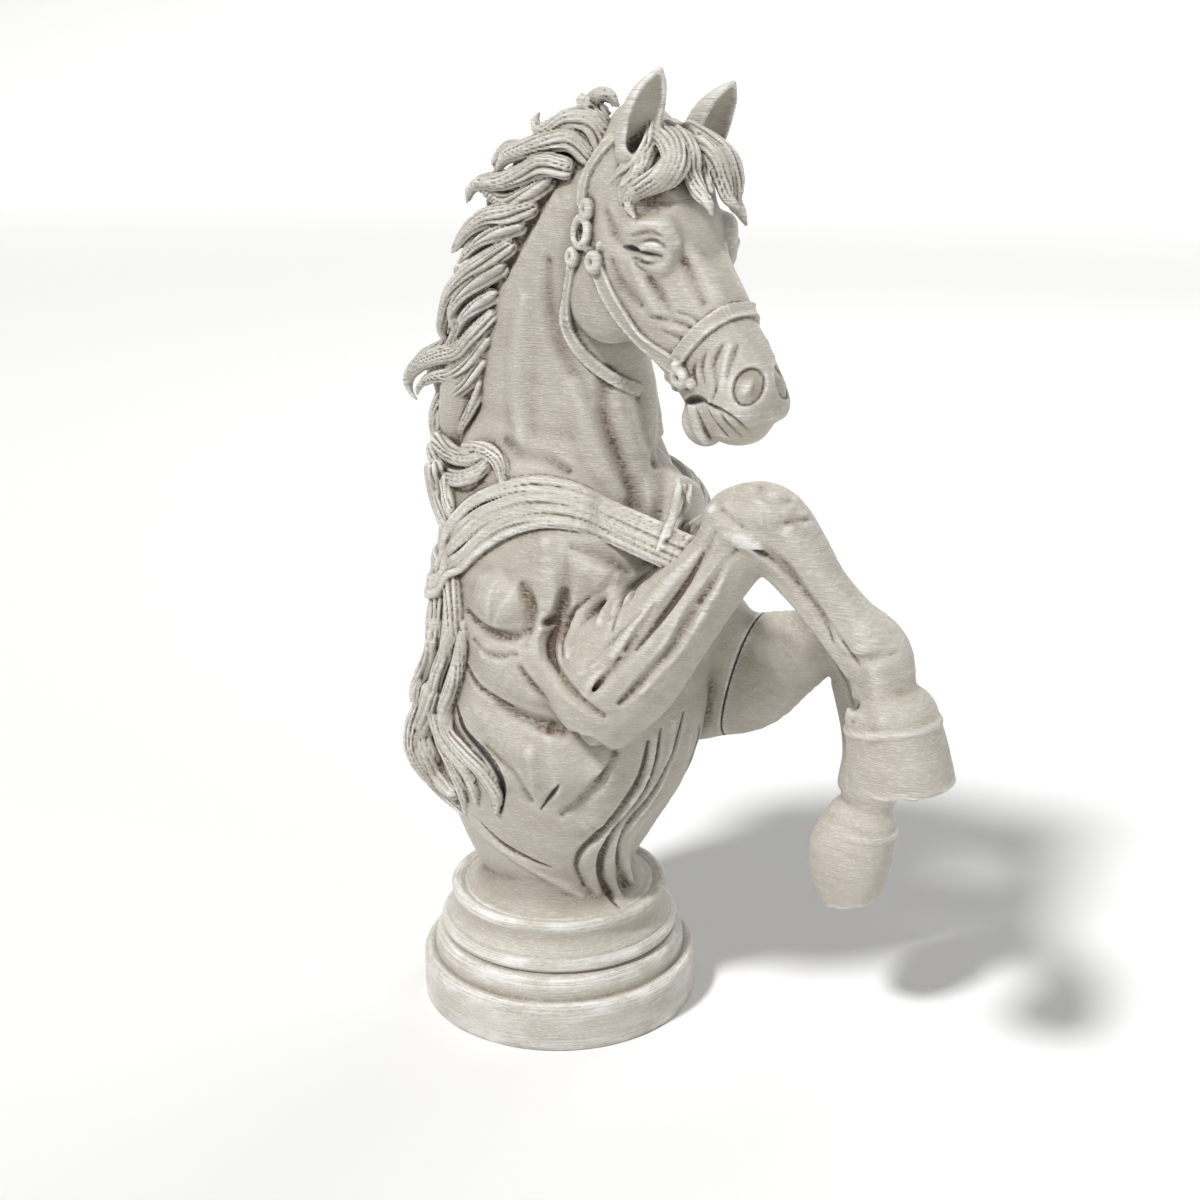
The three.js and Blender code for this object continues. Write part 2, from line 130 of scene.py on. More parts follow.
@dataclass
class Tube:
    """A tube through stations x, y, z, half width and half depth, in millimetres.

    Args:
        rows: The stations.
        across: The way its width lies.
        steps: Points between two stations.
        flutes: Strands round its girth, for hair and gathered cloth.
        flute_depth: How deep the grooves between strands are.
        wedge: How much wider its width is on the side its depth points to.
        twist: How many strands the flutes wind past from end to end.
        square: 2 for round sections, more for squarer ones.
        flat: Whether its last end is cut square.
    """

    rows: Rows
    across: Point = (0.0, 1.0, 0.0)
    steps: int = 4
    flutes: int = 0
    flute_depth: float = 0.0
    wedge: float = 0.0
    twist: float = 0.0
    square: float = 2.0
    flat: bool = False

    def spine(self) -> np.ndarray:
        """Returns the stations with the curve's points between them."""
        points = curve_points(self.rows, self.steps)
        points[:, 3:5] = np.maximum(points[:, 3:5], 0.25)
        return points

    def box(self, margin: float) -> tuple[np.ndarray, np.ndarray]:
        """Returns the lowest and highest corner of the tube, with a margin."""
        points = self.spine()
        reach = points[:, 3:5].max(axis=1)[:, None] * (1 + abs(self.wedge)) + margin
        return (points[:, :3] - reach).min(axis=0), (points[:, :3] + reach).max(axis=0)

    def parts(self, margin: float) -> Iterable[tuple[np.ndarray, np.ndarray,
            Callable[[np.ndarray], np.ndarray]]]:
        """Gives each stretch of the tube its box and a way to measure distances to it.

        Args:
            margin: How far the boxes reach beyond the skin.

        Yields:
            The lowest and highest corner of a stretch, and its distance function.
        """
        points = self.spine()
        centre = points[:, :3]
        tangent = unit(np.gradient(centre, axis=0))
        across = np.broadcast_to(np.asarray(self.across, dtype=np.float64), centre.shape)
        wide = unit(across - tangent * (across * tangent).sum(axis=1, keepdims=True))
        deep = np.cross(tangent, wide)
        count = len(points) - 1
        for i in range(count):
            reach = points[i : i + 2, 3:5].max() * (1 + abs(self.wedge)) + margin
            ends = centre[i : i + 2]
            axes = np.stack([wide[i] + wide[i + 1], deep[i] + deep[i + 1], ends[1] - ends[0]])

            def measure(at: np.ndarray, i: int = i, axes: np.ndarray = axes) -> np.ndarray:
                """Returns how far points are from this stretch, negative inside."""
                d = self.stretch(at, points[i], points[i + 1], axes, i / count, 1 / count)
                if self.flat:
                    d = np.maximum(d, (at - centre[-1].astype(np.float32)) @ tangent[-1].astype(np.float32))
                return d

            yield ends.min(axis=0) - reach, ends.max(axis=0) + reach, measure

    def stretch(
        self, at: np.ndarray, first: np.ndarray, last: np.ndarray, axes: np.ndarray, start: float,
            share: float
    ) -> np.ndarray:
        """Measures how far points are from one stretch of the tube.

        Args:
            at: Points, one to a row.
            first: The stretch's first station.
            last: Its last station.
            axes: The ways of its width, its depth and its length.
            start: How far along the tube it starts, from 0 to 1.
            share: The share of the tube that it is.

        Returns:
            A distance for each point, negative inside.
        """
        span = last[:3] - first[:3]
        length = max(float(span @ span), 1e-9)
        away = at - first[:3].astype(np.float32)
        t = np.clip(away @ (span / length).astype(np.float32), 0, 1)
        a = first[3] + (last[3] - first[3]) * t
        b = first[4] + (last[4] - first[4]) * t
        local = away @ unit(axes).astype(np.float32).T
        u, v = local[:, 0], local[:, 1]
        s = local[:, 2] - t * math.sqrt(length)
        if self.wedge:
            a = a * (1 + self.wedge * np.clip(v / b, -1, 1))
        c = np.minimum(a, b)
        if self.square > 2:
            p = self.square
            ratio = (np.abs(u / a) ** p + np.abs(v / b) ** p + np.abs(s / c) ** p) ** (1 / p)
        else:
            ratio = np.sqrt((u / a) ** 2 + (v / b) ** 2 + (s / c) ** 2)
        slope = np.sqrt((u / a**2) ** 2 + (v / b**2) ** 2 + (s / c**2) ** 2)
        d = (ratio - 1) * np.maximum(ratio, 0.05) / np.maximum(slope, 0.02)
        if self.flutes:
            turn = np.arctan2(v / b, u / a)
            fade = self.flute_depth * np.clip(c / 1.6, 0, 1)
            along = start + share * t
            wander = 0.9 * np.sin(2 * turn + 1.3 + 4 * along) + 0.6 * np.sin(3 * turn - 2.1 - 7 * along)
            strand = np.cos(turn * self.flutes / 2 + wander + self.twist * math.pi * along) ** 4
            d = d + fade * strand * (0.8 + 0.35 * np.sin(2 * turn + 5 * along + self.flutes))
        return d


@dataclass
class Mass:
    """A rounded mass: a muscle, an eyeball or a bone's knob.

    Args:
        centre: Its middle, in millimetres.
        radii: Its three half sizes.
        turns: Degrees about X, then Y, then Z.
    """

    centre: Point
    radii: Point
    turns: Point = (0.0, 0.0, 0.0)

    def axes(self) -> np.ndarray:
        """Returns the mass's own three axes, one to a row."""
        a, b, c = (math.radians(turn) for turn in self.turns)
        rx = np.array([[1, 0, 0], [0, math.cos(a), -math.sin(a)], [0, math.sin(a), math.cos(a)]])
        ry = np.array([[math.cos(b), 0, math.sin(b)], [0, 1, 0], [-math.sin(b), 0, math.cos(b)]])
        rz = np.array([[math.cos(c), -math.sin(c), 0], [math.sin(c), math.cos(c), 0], [0, 0, 1]])
        return (rx @ ry @ rz).T

    def box(self, margin: float) -> tuple[np.ndarray, np.ndarray]:
        """Returns the lowest and highest corner of the mass, with a margin."""
        reach = np.sqrt(((self.axes() * np.asarray(self.radii)[:, None]) ** 2).sum(axis=0)) + margin
        return np.asarray(self.centre) - reach, np.asarray(self.centre) + reach

    def parts(self, margin: float) -> Iterable[tuple[np.ndarray, np.ndarray,
            Callable[[np.ndarray], np.ndarray]]]:
        """Gives the mass's box and its distance function."""
        low, high = self.box(margin)
        yield low, high, self.distance

    def distance(self, at: np.ndarray) -> np.ndarray:
        """Measures how far points are from the mass, negative inside.

        Args:
            at: Points, one to a row.

        Returns:
            A distance for each point.
        """
        local = (at - np.asarray(self.centre, dtype=np.float32)) @ self.axes().astype(np.float32).T
        q = local / np.asarray(self.radii, dtype=np.float32)
        ratio = np.sqrt((q * q).sum(axis=1))
        slope = np.sqrt(((q / np.asarray(self.radii, dtype=np.float32)) ** 2).sum(axis=1))
        return (ratio - 1) * np.maximum(ratio, 0.05) / np.maximum(slope, 0.01)


@dataclass
class Band:
    """A flat strap laid along landed points.

    Args:
        rows: Points x, y, z with the outward direction after them.
        width: The strap's width, in millimetres.
        thickness: How far it stands out of the skin.
        beads: Whether its two edges have a raised bead.
    """

    rows: np.ndarray
    width: float
    thickness: float
    beads: bool = False

    def box(self, margin: float) -> tuple[np.ndarray, np.ndarray]:
        """Returns the lowest and highest corner of the strap, with a margin."""
        reach = self.width / 2 + self.thickness + margin
        return self.rows[:, :3].min(axis=0) - reach, self.rows[:, :3].max(axis=0) + reach

    def parts(self, margin: float) -> Iterable[tuple[np.ndarray, np.ndarray,
            Callable[[np.ndarray], np.ndarray]]]:
        """Gives each stretch of the strap its box and a way to measure distances to it.

        Args:
            margin: How far the boxes reach beyond the skin.

        Yields:
            The lowest and highest corner of a stretch, and its distance function.
        """
        points = curve_points(self.rows, 4)
        centre = points[:, :3]
        out = unit(points[:, 3:6])
        wide = unit(np.cross(out, unit(np.gradient(centre, axis=0))))
        reach = self.width / 2 + self.thickness + margin
        for i in range(len(points) - 1):
            ends = centre[i : i + 2]
            axes = np.stack([wide[i] + wide[i + 1], out[i] + out[i + 1], ends[1] - ends[0]])

            def measure(at: np.ndarray, first: np.ndarray = ends[0], axes: np.ndarray = axes) -> np.ndarray:
                """Returns how far points are from this stretch, negative inside."""
                return self.stretch(at, first, axes)

            yield ends.min(axis=0) - reach, ends.max(axis=0) + reach, measure

    def stretch(self, at: np.ndarray, first: np.ndarray, axes: np.ndarray) -> np.ndarray:
        """Measures how far points are from one stretch of the strap.

        Args:
            at: Points, one to a row.
            first: Where the stretch starts.
            axes: The ways of its width, its thickness and its length.

        Returns:
            A distance for each point, negative inside.
        """
        length = float(np.linalg.norm(axes[2]))
        local = (at - first.astype(np.float32)) @ unit(axes).astype(np.float32).T
        u, v = np.abs(local[:, 0]), local[:, 1]
        s = np.maximum(np.maximum(-local[:, 2], local[:, 2] - length), 0)
        half = self.width / 2
        top = self.thickness
        if self.beads:
            top = top - 0.35 + 0.6 * np.clip(u / half, 0, 1) ** 3
        side, lid = u - half, np.maximum(v - top, -v - 1.5)
        dx, dy = np.maximum(side + 0.3, 0), np.maximum(lid + 0.3, 0)
        return np.sqrt(dx * dx + dy * dy + s * s) + np.minimum(np.maximum(side, lid) + 0.3, 0) - 0.3


@dataclass
class Clay:
    """The distance to the surface on a grid of points.

    Args:
        low: The grid's lowest corner, in millimetres.
        step: The distance between its points.
        values: The distances, negative inside.
    """

    low: np.ndarray
    step: float
    values: np.ndarray

    @classmethod
    def block(cls, low: Point, high: Point, step: float) -> "Clay":
        """Makes an empty grid.

        Args:
            low: Its lowest corner.
            high: The corner that it has to reach.
            step: The distance between its points.

        Returns:
            The grid, with nothing in it.
        """
        shape = np.ceil((np.asarray(high) - np.asarray(low)) / step).astype(int) + 1
        return cls(np.asarray(low, dtype=np.float64), step, np.full(shape, 9.0, dtype=np.float32))

    def window(self, low: np.ndarray, high: np.ndarray) -> Optional[tuple[slice, ...]]:
        """Finds the grid points of a box.

        Args:
            low: The box's lowest corner.
            high: Its highest corner.

        Returns:
            Three slices, or None where the box misses the grid.
        """
        first = np.maximum(np.floor((low - self.low) / self.step).astype(int), 0)
        last = np.minimum(np.ceil((high - self.low) / self.step).astype(int) + 1, self.values.shape)
        if (last - first < 1).any():
            return None
        return tuple(slice(int(a), int(b)) for a, b in zip(first, last))

    def points(self, view: tuple[slice, ...]) -> np.ndarray:
        """Returns where the grid points of a window are, one to a row."""
        axes = [self.low[k] + self.step * np.arange(view[k].start, view[k].stop) for k in range(3)]
        grid = np.stack(np.meshgrid(*axes, indexing="ij"), axis=-1)
        return grid.reshape(-1, 3).astype(np.float32)

    def work(self, tool: "Tube | Mass | Band", blend: float = 0.0, how: Work = Work.ADD) -> None:
        """Lays a shape on, or carves it out.

        Args:
            tool: The shape.
            blend: The fillet between it and the clay, in millimetres.
            how: Whether the shape is added or taken away.
        """
        margin = blend + 2 * self.step + 0.5
        view = self.window(*tool.box(margin))
        if view is None:
            return
        old = self.values[view]
        new = np.full(old.shape, 9.0, dtype=np.float32)
        for low, high, measure in tool.parts(margin):
            part = self.window(low, high)
            if part is None:
                continue
            spot = tuple(slice(max(p.start - v.start, 0), p.stop - v.start) for p, v in zip(part, view))
            part = tuple(slice(v.start + q.start, min(p.stop, v.stop)) for p, q, v in zip(part, spot, view))
            if any(p.stop <= p.start for p in part):
                continue
            d = measure(self.points(part)).reshape(new[spot].shape)
            np.minimum(new[spot], d, out=new[spot])
        if how is Work.ADD:
            self.values[view] = smooth_least(old, new, blend)
        else:
            self.values[view] = -smooth_least(-old, new, blend)

    def trim(self, keep: Callable[[np.ndarray], np.ndarray], low: Point, high: Point) -> None:
        """Keeps the clay of a box only where a distance is negative.

        Args:
            keep: Gives a distance for points, negative where clay stays.
            low: The box's lowest corner.
            high: Its highest corner.
        """
        view = self.window(np.asarray(low, dtype=float), np.asarray(high, dtype=float))
        if view is None:
            return
        old = self.values[view]
        self.values[view] = np.maximum(old, keep(self.points(view)).reshape(old.shape))

    def sample(self, at: np.ndarray) -> np.ndarray:
        """Reads the distance anywhere between the grid points."""
        q = (at - self.low) / self.step
        q = np.clip(q, 0, np.asarray(self.values.shape) - 1.001)
        i = q.astype(int)
        f = q - i
        total = np.zeros(len(at))
        for dx in (0, 1):
            for dy in (0, 1):
                for dz in (0, 1):
                    w = np.abs(1 - dx - f[:, 0]) * np.abs(1 - dy - f[:, 1]) * np.abs(1 - dz - f[:, 2])
                    total += w * self.values[i[:, 0] + dx, i[:, 1] + dy, i[:, 2] + dz]
        return total

    def slope(self, at: np.ndarray, reach: float = 0.6) -> np.ndarray:
        """Returns the outward direction of the surface near points."""
        out = np.empty_like(at)
        for k in range(3):
            shift = np.zeros(3)
            shift[k] = reach
            out[:, k] = self.sample(at + shift) - self.sample(at - shift)
        return unit(out)

    def land(self, starts: np.ndarray, inward: np.ndarray, sink: float = 0.0) -> np.ndarray:
        """Moves points along a direction until they meet the surface.

        Args:
            starts: Points outside, one to a row.
            inward: Their directions.
            sink: How deep under the surface they stop.

        Returns:
            The landed points.
        """
        at = starts.astype(float).copy()
        open_way = np.ones(len(at), dtype=bool)
        for _ in range(400):
            gap = self.sample(at)
            open_way &= gap > 0.02
            if not open_way.any():
                break
            move = np.where(open_way, np.clip(gap * 0.7, 0.15, 3.0), 0)
            at += inward * move[:, None]
        return at + inward * sink

    def refined(self) -> "Clay":
        """Returns the same clay on a grid three times as fine."""
        values = self.values
        for axis in range(3):
            values = np.moveaxis(values, axis, 0)
            ends = np.concatenate([values[:1], values, values[-1:]])
            fine = np.empty((3 * (len(values) - 1) + 1,) + values.shape[1:], dtype=np.float32)
            fine[::3] = values
            for phase in (1, 2):
                t = phase / 3
                weights = (
                    -0.5 * t + t * t - 0.5 * t**3,
                    1 - 2.5 * t * t + 1.5 * t**3,
                    0.5 * t + 2 * t * t - 1.5 * t**3,
                    -0.5 * t * t + 0.5 * t**3,
                )
                count = len(values) - 1
                fine[phase::3] = sum(w * ends[k : k + count] for k, w in enumerate(weights))
            values = np.moveaxis(fine, 0, axis)
        return Clay(self.low, self.step / 3, np.ascontiguousarray(values))

    def blurred(self, reach: int, rounds: int = 2) -> "Clay":
        """Returns the clay averaged over cubes of points, for reading hollows."""
        values = np.clip(self.values, -4, 4)
        for _ in range(rounds):
            for axis in range(3):
                row = np.moveaxis(values, axis, 0)
                mean = row.copy()
                for shift in range(1, reach + 1):
                    mean[shift:] += row[:-shift]
                    mean[:shift] += row[:1]
                    mean[:-shift] += row[shift:]
                    mean[-shift:] += row[-1:]
                values = np.moveaxis(mean / (2 * reach + 1), 0, axis)
        return Clay(self.low, self.step, np.ascontiguousarray(values))

    def between(self, low: float, high: float) -> "Clay":
        """Returns the clay between two heights, closed there."""
        heights = self.low[2] + self.step * np.arange(self.values.shape[2])
        keep = (heights > low - 3 * self.step) & (heights < high + 3 * self.step)
        ends = np.maximum(low - heights[keep], heights[keep] - high).astype(np.float32)
        values = np.maximum(self.values[:, :, keep], ends)
        return Clay(np.array([*self.low[:2], heights[keep][0]]), self.step, np.ascontiguousarray(values))

    def skin(self) -> tuple[np.ndarray, np.ndarray]:
        """Draws the surface where the distance is nought.

        Returns:
            Its points in millimetres, and its four-sided faces, which point outwards.
        """
        f = self.values
        inside = f < 0
        corners = [
            inside[dx : dx + f.shape[0] - 1, dy : dy + f.shape[1] - 1, dz : dz + f.shape[2] - 1]
            for dx in (0, 1)
            for dy in (0, 1)
            for dz in (0, 1)
        ]
        some = corners[0].copy()
        every = corners[0].copy()
        for corner in corners[1:]:
            some |= corner
            every &= corner
        active = some & ~every
        cells = np.argwhere(active)
        number = np.full(active.shape, -1, dtype=np.int32)
        number[active] = np.arange(len(cells), dtype=np.int32)
        spots = [np.array(spot) for spot in np.ndindex(2, 2, 2)]
        at = {tuple(s): f[cells[:, 0] + s[0], cells[:, 1] + s[1], cells[:, 2] + s[2]] for s in spots}
        total = np.zeros((len(cells), 3))
        hits = np.zeros(len(cells))
        for spot in spots:
            for axis in range(3):
                if spot[axis]:
                    continue
                other = spot.copy()
                other[axis] = 1
                fa, fb = at[tuple(spot)], at[tuple(other)]
                cross = (fa < 0) != (fb < 0)
                t = fa / np.where(cross, fa - fb, 1)
                place = np.broadcast_to(spot.astype(float), (len(cells), 3)).copy()
                place[:, axis] = t
                total[cross] += place[cross]
                hits += cross
        verts = (cells + total / hits[:, None]) * self.step + self.low
        faces = []
        for axis in range(3):
            one, two = (axis + 1) % 3, (axis + 2) % 3
            lower = [slice(None)] * 3
            upper = [slice(None)] * 3
            lower[axis] = slice(0, -1)
            upper[axis] = slice(1, None)
            a, b = inside[tuple(lower)], inside[tuple(upper)]
            for flip, cross in ((False, a & ~b), (True, ~a & b)):
                edge = np.argwhere(cross)
                edge = edge[(edge[:, one] > 0) & (edge[:, two] > 0)]
                edge = edge[(edge[:, one] < f.shape[one] - 1) & (edge[:, two] < f.shape[two] - 1)]
                quad = []
                for s, t in ((0, 0), (1, 0), (1, 1), (0, 1)):
                    cell = edge.copy()
                    cell[:, one] -= 1 - s
                    cell[:, two] -= 1 - t
                    quad.append(number[cell[:, 0], cell[:, 1], cell[:, 2]])
                quad = np.stack(quad, axis=1)
                faces.append(quad[:, ::-1] if flip else quad)
        faces = np.vstack(faces)
        for _ in range(2):
            out = self.slope(verts)
            verts = verts - out * np.clip(self.sample(verts), -0.3, 0.3)[:, None]
        return verts, faces


# Frames and helpers for placing tools


@dataclass(frozen=True)
class Place:
    """A frame of its own, such as the head's, set in the row frame.

    Args:
        origin: Where it stands, in millimetres.
        turn: Degrees about the upright axis, clockwise from above.
        drop: Degrees that its X axis tips down.
    """

    origin: Point
    turn: float
    drop: float

    def matrix(self) -> np.ndarray:
        """Returns the three axes of the frame, one to a column."""
        a, b = math.radians(-self.turn), math.radians(self.drop)
        rz = np.array([[math.cos(a), -math.sin(a), 0], [math.sin(a), math.cos(a), 0], [0, 0, 1]])
        ry = np.array([[math.cos(b), 0, math.sin(b)], [0, 1, 0], [-math.sin(b), 0, math.cos(b)]])
        return rz @ ry

    def point(self, at: Rows) -> np.ndarray:
        """Moves points of this frame into the row frame."""
        return np.asarray(at, dtype=float) @ self.matrix().T + np.asarray(self.origin)

    def way(self, direction: Rows) -> np.ndarray:
        """Turns directions of this frame into the row frame's."""
        return np.asarray(direction, dtype=float) @ self.matrix().T

    def rows(self, rows: Rows) -> np.ndarray:
        """Moves stations, which have numbers after their position."""
        rows = np.asarray(rows, dtype=float)
        return np.hstack([self.point(rows[:, :3]), rows[:, 3:]])


HEAD = Place((41.0, -18.0, 222.5 + SOCLE_HEIGHT), 15.0, 60.0)


def lifted(rows: Rows) -> np.ndarray:
    """Lifts stations that are counted from the socle's top."""
    rows = np.array(rows, dtype=float)
    rows[:, 2] += SOCLE_HEIGHT
    return rows


def from_side(clay: Clay, rows: Rows, side: Side, place: Optional[Place] = None) -> np.ndarray:
    """Lays rows x, z, and more numbers on the skin as seen square from one side.

    Args:
        clay: The clay to land on.
        rows: Points of the side view, with any other numbers after them.
        side: The side to look from.
        place: The frame of the side view, the socle's top where none is given.

    Returns:
        Rows with x, y, z and the other numbers.
    """
    rows = np.asarray(rows, dtype=float)
    start = np.stack([rows[:, 0], np.full(len(rows), side.value * 46.0), rows[:, 1]], axis=1)
    inward = np.broadcast_to(np.array([0.0, -side.value, 0.0]), start.shape)
    if place is None:
        start[:, 2] += SOCLE_HEIGHT
    else:
        start[:, 1] = side.value * 26.0
        start, inward = place.point(start), place.way(inward)
    return np.hstack([clay.land(start, inward), rows[:, 2:]])


def from_round(clay: Clay, rows: Rows) -> np.ndarray:
    """Lays rows of turn, height and more numbers on the trunk, towards its upright axis.

    Args:
        clay: The clay to land on.
        rows: Degrees from the front, a height over the socle, and other numbers.

    Returns:
        Rows with x, y, z and the other numbers.
    """
    rows = np.asarray(rows, dtype=float)
    angle = np.radians(rows[:, 0])
    outward = np.stack([np.cos(angle), np.sin(angle), np.zeros(len(rows))], axis=1)
    start = outward * 75
    start[:, 2] = rows[:, 1] + SOCLE_HEIGHT
    return np.hstack([clay.land(start, -outward), rows[:, 2:]])


def stroke(
    clay: Clay,
    rows: np.ndarray,
    blend: float,
    how: Work = Work.ADD,
    rise: float = 0.0,
    across: Point = (0.0, 0.0, 1.0),
) -> np.ndarray:
    """Works a ridge or a groove along landed rows x, y, z, radius.

    Args:
        clay: The clay to work.
        rows: The landed rows.
        blend: The fillet beside the stroke.
        how: A ridge or a groove.
        rise: How far the stroke's middle stands out of the skin.
        across: Any direction that isn't along the stroke.

    Returns:
        The stroke's middle line.
    """
    out = clay.slope(rows[:, :3], 1.0)
    middle = rows[:, :3] + out * rise
    radius = rows[:, 3:4]
    clay.work(Tube(np.hstack([middle, radius, radius]), across, steps=3), blend, how)
    return middle


# Sizes of the figure, in millimetres over the socle's top


@dataclass(frozen=True)
class Limb:
    """A foreleg in stations: forearm, shank with knee and fetlock, and hoof."""

    forearm: Rows
    shank: Rows
    hoof: Rows

    def tubes(self) -> list[tuple[Tube, float]]:
        """Returns the limb's tubes, each with its fillet."""
        return [
            (Tube(lifted(self.forearm)), 3.0),
            (Tube(lifted(self.shank)), 4.0),
            (Tube(lifted(self.hoof), square=2.3, flat=True), 1.2),
        ]

    def shape(self, clay: Clay) -> None:
        """Works the limb into the clay."""
        for tube, blend in self.tubes():
            clay.work(tube, blend)


RIGHT_LEG = Limb(
    forearm=(
        (34, -31, 75, 11, 15),
        (45, -31, 88, 12, 16),
        (58, -30, 103, 10.5, 12.5),
        (70, -28, 118, 8.5, 10),
        (78, -27, 129, 9, 10),
    ),
    shank=(
        (75, -27, 130.5, 8.5, 9.5),
        (83, -27, 131.5, 9.5, 11),
        (90, -26, 126, 8, 9.6),
        (98, -25, 117, 6, 7.6),
        (106, -24, 108.5, 6.2, 7.8),
        (113.5, -24, 102, 7.5, 9.2),
        (116.5, -24, 92.5, 6.6, 8.4),
        (118.3, -23.6, 84, 8.6, 10.6),
    ),
    hoof=((118.8, -23.5, 84.5, 10, 11.8), (120.8, -23.5, 76, 11, 12.8), (122.4, -23.5, 67.5, 11.6, 13.6)),
)

LEFT_LEG = Limb(
    forearm=(
        (30, 30, 62, 12, 18),
        (47, 30, 68, 12, 18.5),
        (60, 28, 75.5, 10.5, 14.5),
        (72, 27, 82.5, 8.5, 10.5),
        (81, 26, 86.5, 8, 9),
    ),
    shank=(
        (80, 26, 89, 8, 8),
        (85, 26, 84, 8.5, 9),
        (89, 25, 75, 6.8, 8),
        (92, 24, 64, 5.8, 7),
        (94, 23, 55, 6.3, 7.5),
        (94.5, 22.5, 46.5, 7.6, 9.4),
        (93.6, 22, 39, 6.4, 7.6),
        (91.5, 21.5, 31, 8, 9.5),
    ),
    hoof=((92, 21.5, 32, 8.8, 10.4), (90, 21, 23.5, 10.6, 12.2), (89.6, 21, 14.5, 9.4, 10.2),
        (91.2, 21, 7.6, 6.2, 6.2)),
)


@dataclass(frozen=True)
class Seam:
    """The cut where the left foreleg is glued on: a point, a slant in degrees and the gap."""

    at: Point = (50.0, 30.0, 70.0 + SOCLE_HEIGHT)
    slant: float = -16.0
    gap: float = 0.4

    def beyond(self, at: np.ndarray) -> np.ndarray:
        """Returns how far points are past the cut, towards the hoof."""
        a = math.radians(self.slant)
        return (at - np.asarray(self.at)) @ np.array([math.cos(a), 0.0, math.sin(a)])


@dataclass
class Sculpture:
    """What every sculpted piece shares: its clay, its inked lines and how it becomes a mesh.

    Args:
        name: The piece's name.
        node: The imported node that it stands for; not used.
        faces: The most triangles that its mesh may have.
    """

    name: str
    node: str
    faces: int
    fine: float = 0.5
    courses: tuple[tuple[str, float, float], ...] = ()
    ink: list[np.ndarray] = field(default_factory=list)

    def coarse(self) -> Clay:
        """Makes the big masses on a coarse grid."""
        raise NotImplementedError

    def carve(self, clay: Clay) -> None:
        """Works everything small into the fine grid."""
        raise NotImplementedError

    def build(self) -> list[bpy.types.Object]:
        """Sculpts the piece and makes its mesh objects.

        Returns:
            The finished objects, one for each course, in metres at the row's origin.
        """
        clay = self.coarse().refined()
        self.carve(clay)
        rough = Clay(clay.low, clay.step * 3, np.ascontiguousarray(clay.values[::3, ::3, ::3]))
        # deep, the wide hollows, drives the painted shade in the finish
        readings = {"crisp": clay.blurred(1, 1), "hollow": clay.blurred(2), "deep": rough.blurred(2)}
        made = []
        for name, low, high in self.courses or ((self.name, -1e3, 1e3),):
            made.append(self.dress(name, clay, clay.between(low, high), readings))
        return made

    def dress(self, name: str, clay: Clay, course: Clay, readings: dict[str, Clay]) -> bpy.types.Object:
        """Makes the mesh object of one course.

        Args:
            name: The object's name.
            clay: The whole clay, which gives the shading's directions.
            course: The clay of this course.
            readings: Blurred copies of the clay, by the attribute that each gives.

        Returns:
            The object.
        """
        verts, quads = course.skin()
        mesh = bpy.data.meshes.new(name + "_draft")
        fill_mesh(mesh, verts * MM, quads)
        draft = bpy.data.objects.new(name, mesh)
        bpy.context.scene.collection.objects.link(draft)
        share = self.faces / (2 * len(quads))
        if share < 1:
            modifier = draft.modifiers.new("thin", "DECIMATE")
            modifier.ratio = share
            graph = bpy.context.evaluated_depsgraph_get()
            thinned = bpy.data.meshes.new_from_object(draft.evaluated_get(graph))
            draft.modifiers.clear()
            draft.data = thinned
        mesh = draft.data
        mesh.name = name
        at = np.empty(len(mesh.vertices) * 3)
        mesh.vertices.foreach_get("co", at)
        at = at.reshape(-1, 3) / MM
        for attribute, blurred in readings.items():
            write_attribute(mesh, attribute, -blurred.sample(at))
        write_attribute(mesh, "ink", self.read_ink(at))
        mesh.shade_smooth()
        mesh.normals_split_custom_set_from_vertices(clay.slope(at, 0.4))
        logger.info("%s: %d triangles from %d", name, len(mesh.polygons), 2 * len(quads))
        return draft

    def read_ink(self, at: np.ndarray) -> np.ndarray:
        """Returns how black each point is: the drawn lines and the glued seam."""
        ink = np.clip(1.6 - np.abs(self.seam.beyond(at)) / 0.26, 0, 1)
        ink *= (at[:, 0] > 36) & (at[:, 1] > 6) & (at[:, 2] > 60) & (at[:, 2] < 132)
        for line in self.ink:
            points = curve_points(line, 6)
            for a, b in zip(points[:-1], points[1:]):
                span = b[:3] - a[:3]
                t = np.clip((at - a[:3]) @ span / max(span @ span, 1e-9), 0, 1)
                gap = np.linalg.norm(at - a[:3] - t[:, None] * span, axis=1)
                width = a[3] + (b[3] - a[3]) * t
                ink = np.maximum(ink, np.clip(1.7 - gap / width, 0, 1))
        return ink


def fill_mesh(mesh: bpy.types.Mesh, verts: np.ndarray, quads: np.ndarray) -> None:
    """Fills an empty mesh with points and four-sided faces."""
    mesh.vertices.add(len(verts))
    mesh.vertices.foreach_set("co", verts.astype(np.float32).ravel())
    mesh.loops.add(quads.size)
    mesh.loops.foreach_set("vertex_index", quads.astype(np.int32).ravel())
    mesh.polygons.add(len(quads))
    mesh.polygons.foreach_set("loop_start", np.arange(0, quads.size, 4, dtype=np.int32))
    mesh.update(calc_edges=True)
    mesh.validate()


def write_attribute(mesh: bpy.types.Mesh, name: str, values: np.ndarray) -> None:
    """Stores one number for each vertex of a mesh."""
    layer = mesh.attributes.new(name, "FLOAT", "POINT")
    layer.data.foreach_set("value", values.astype(np.float32))


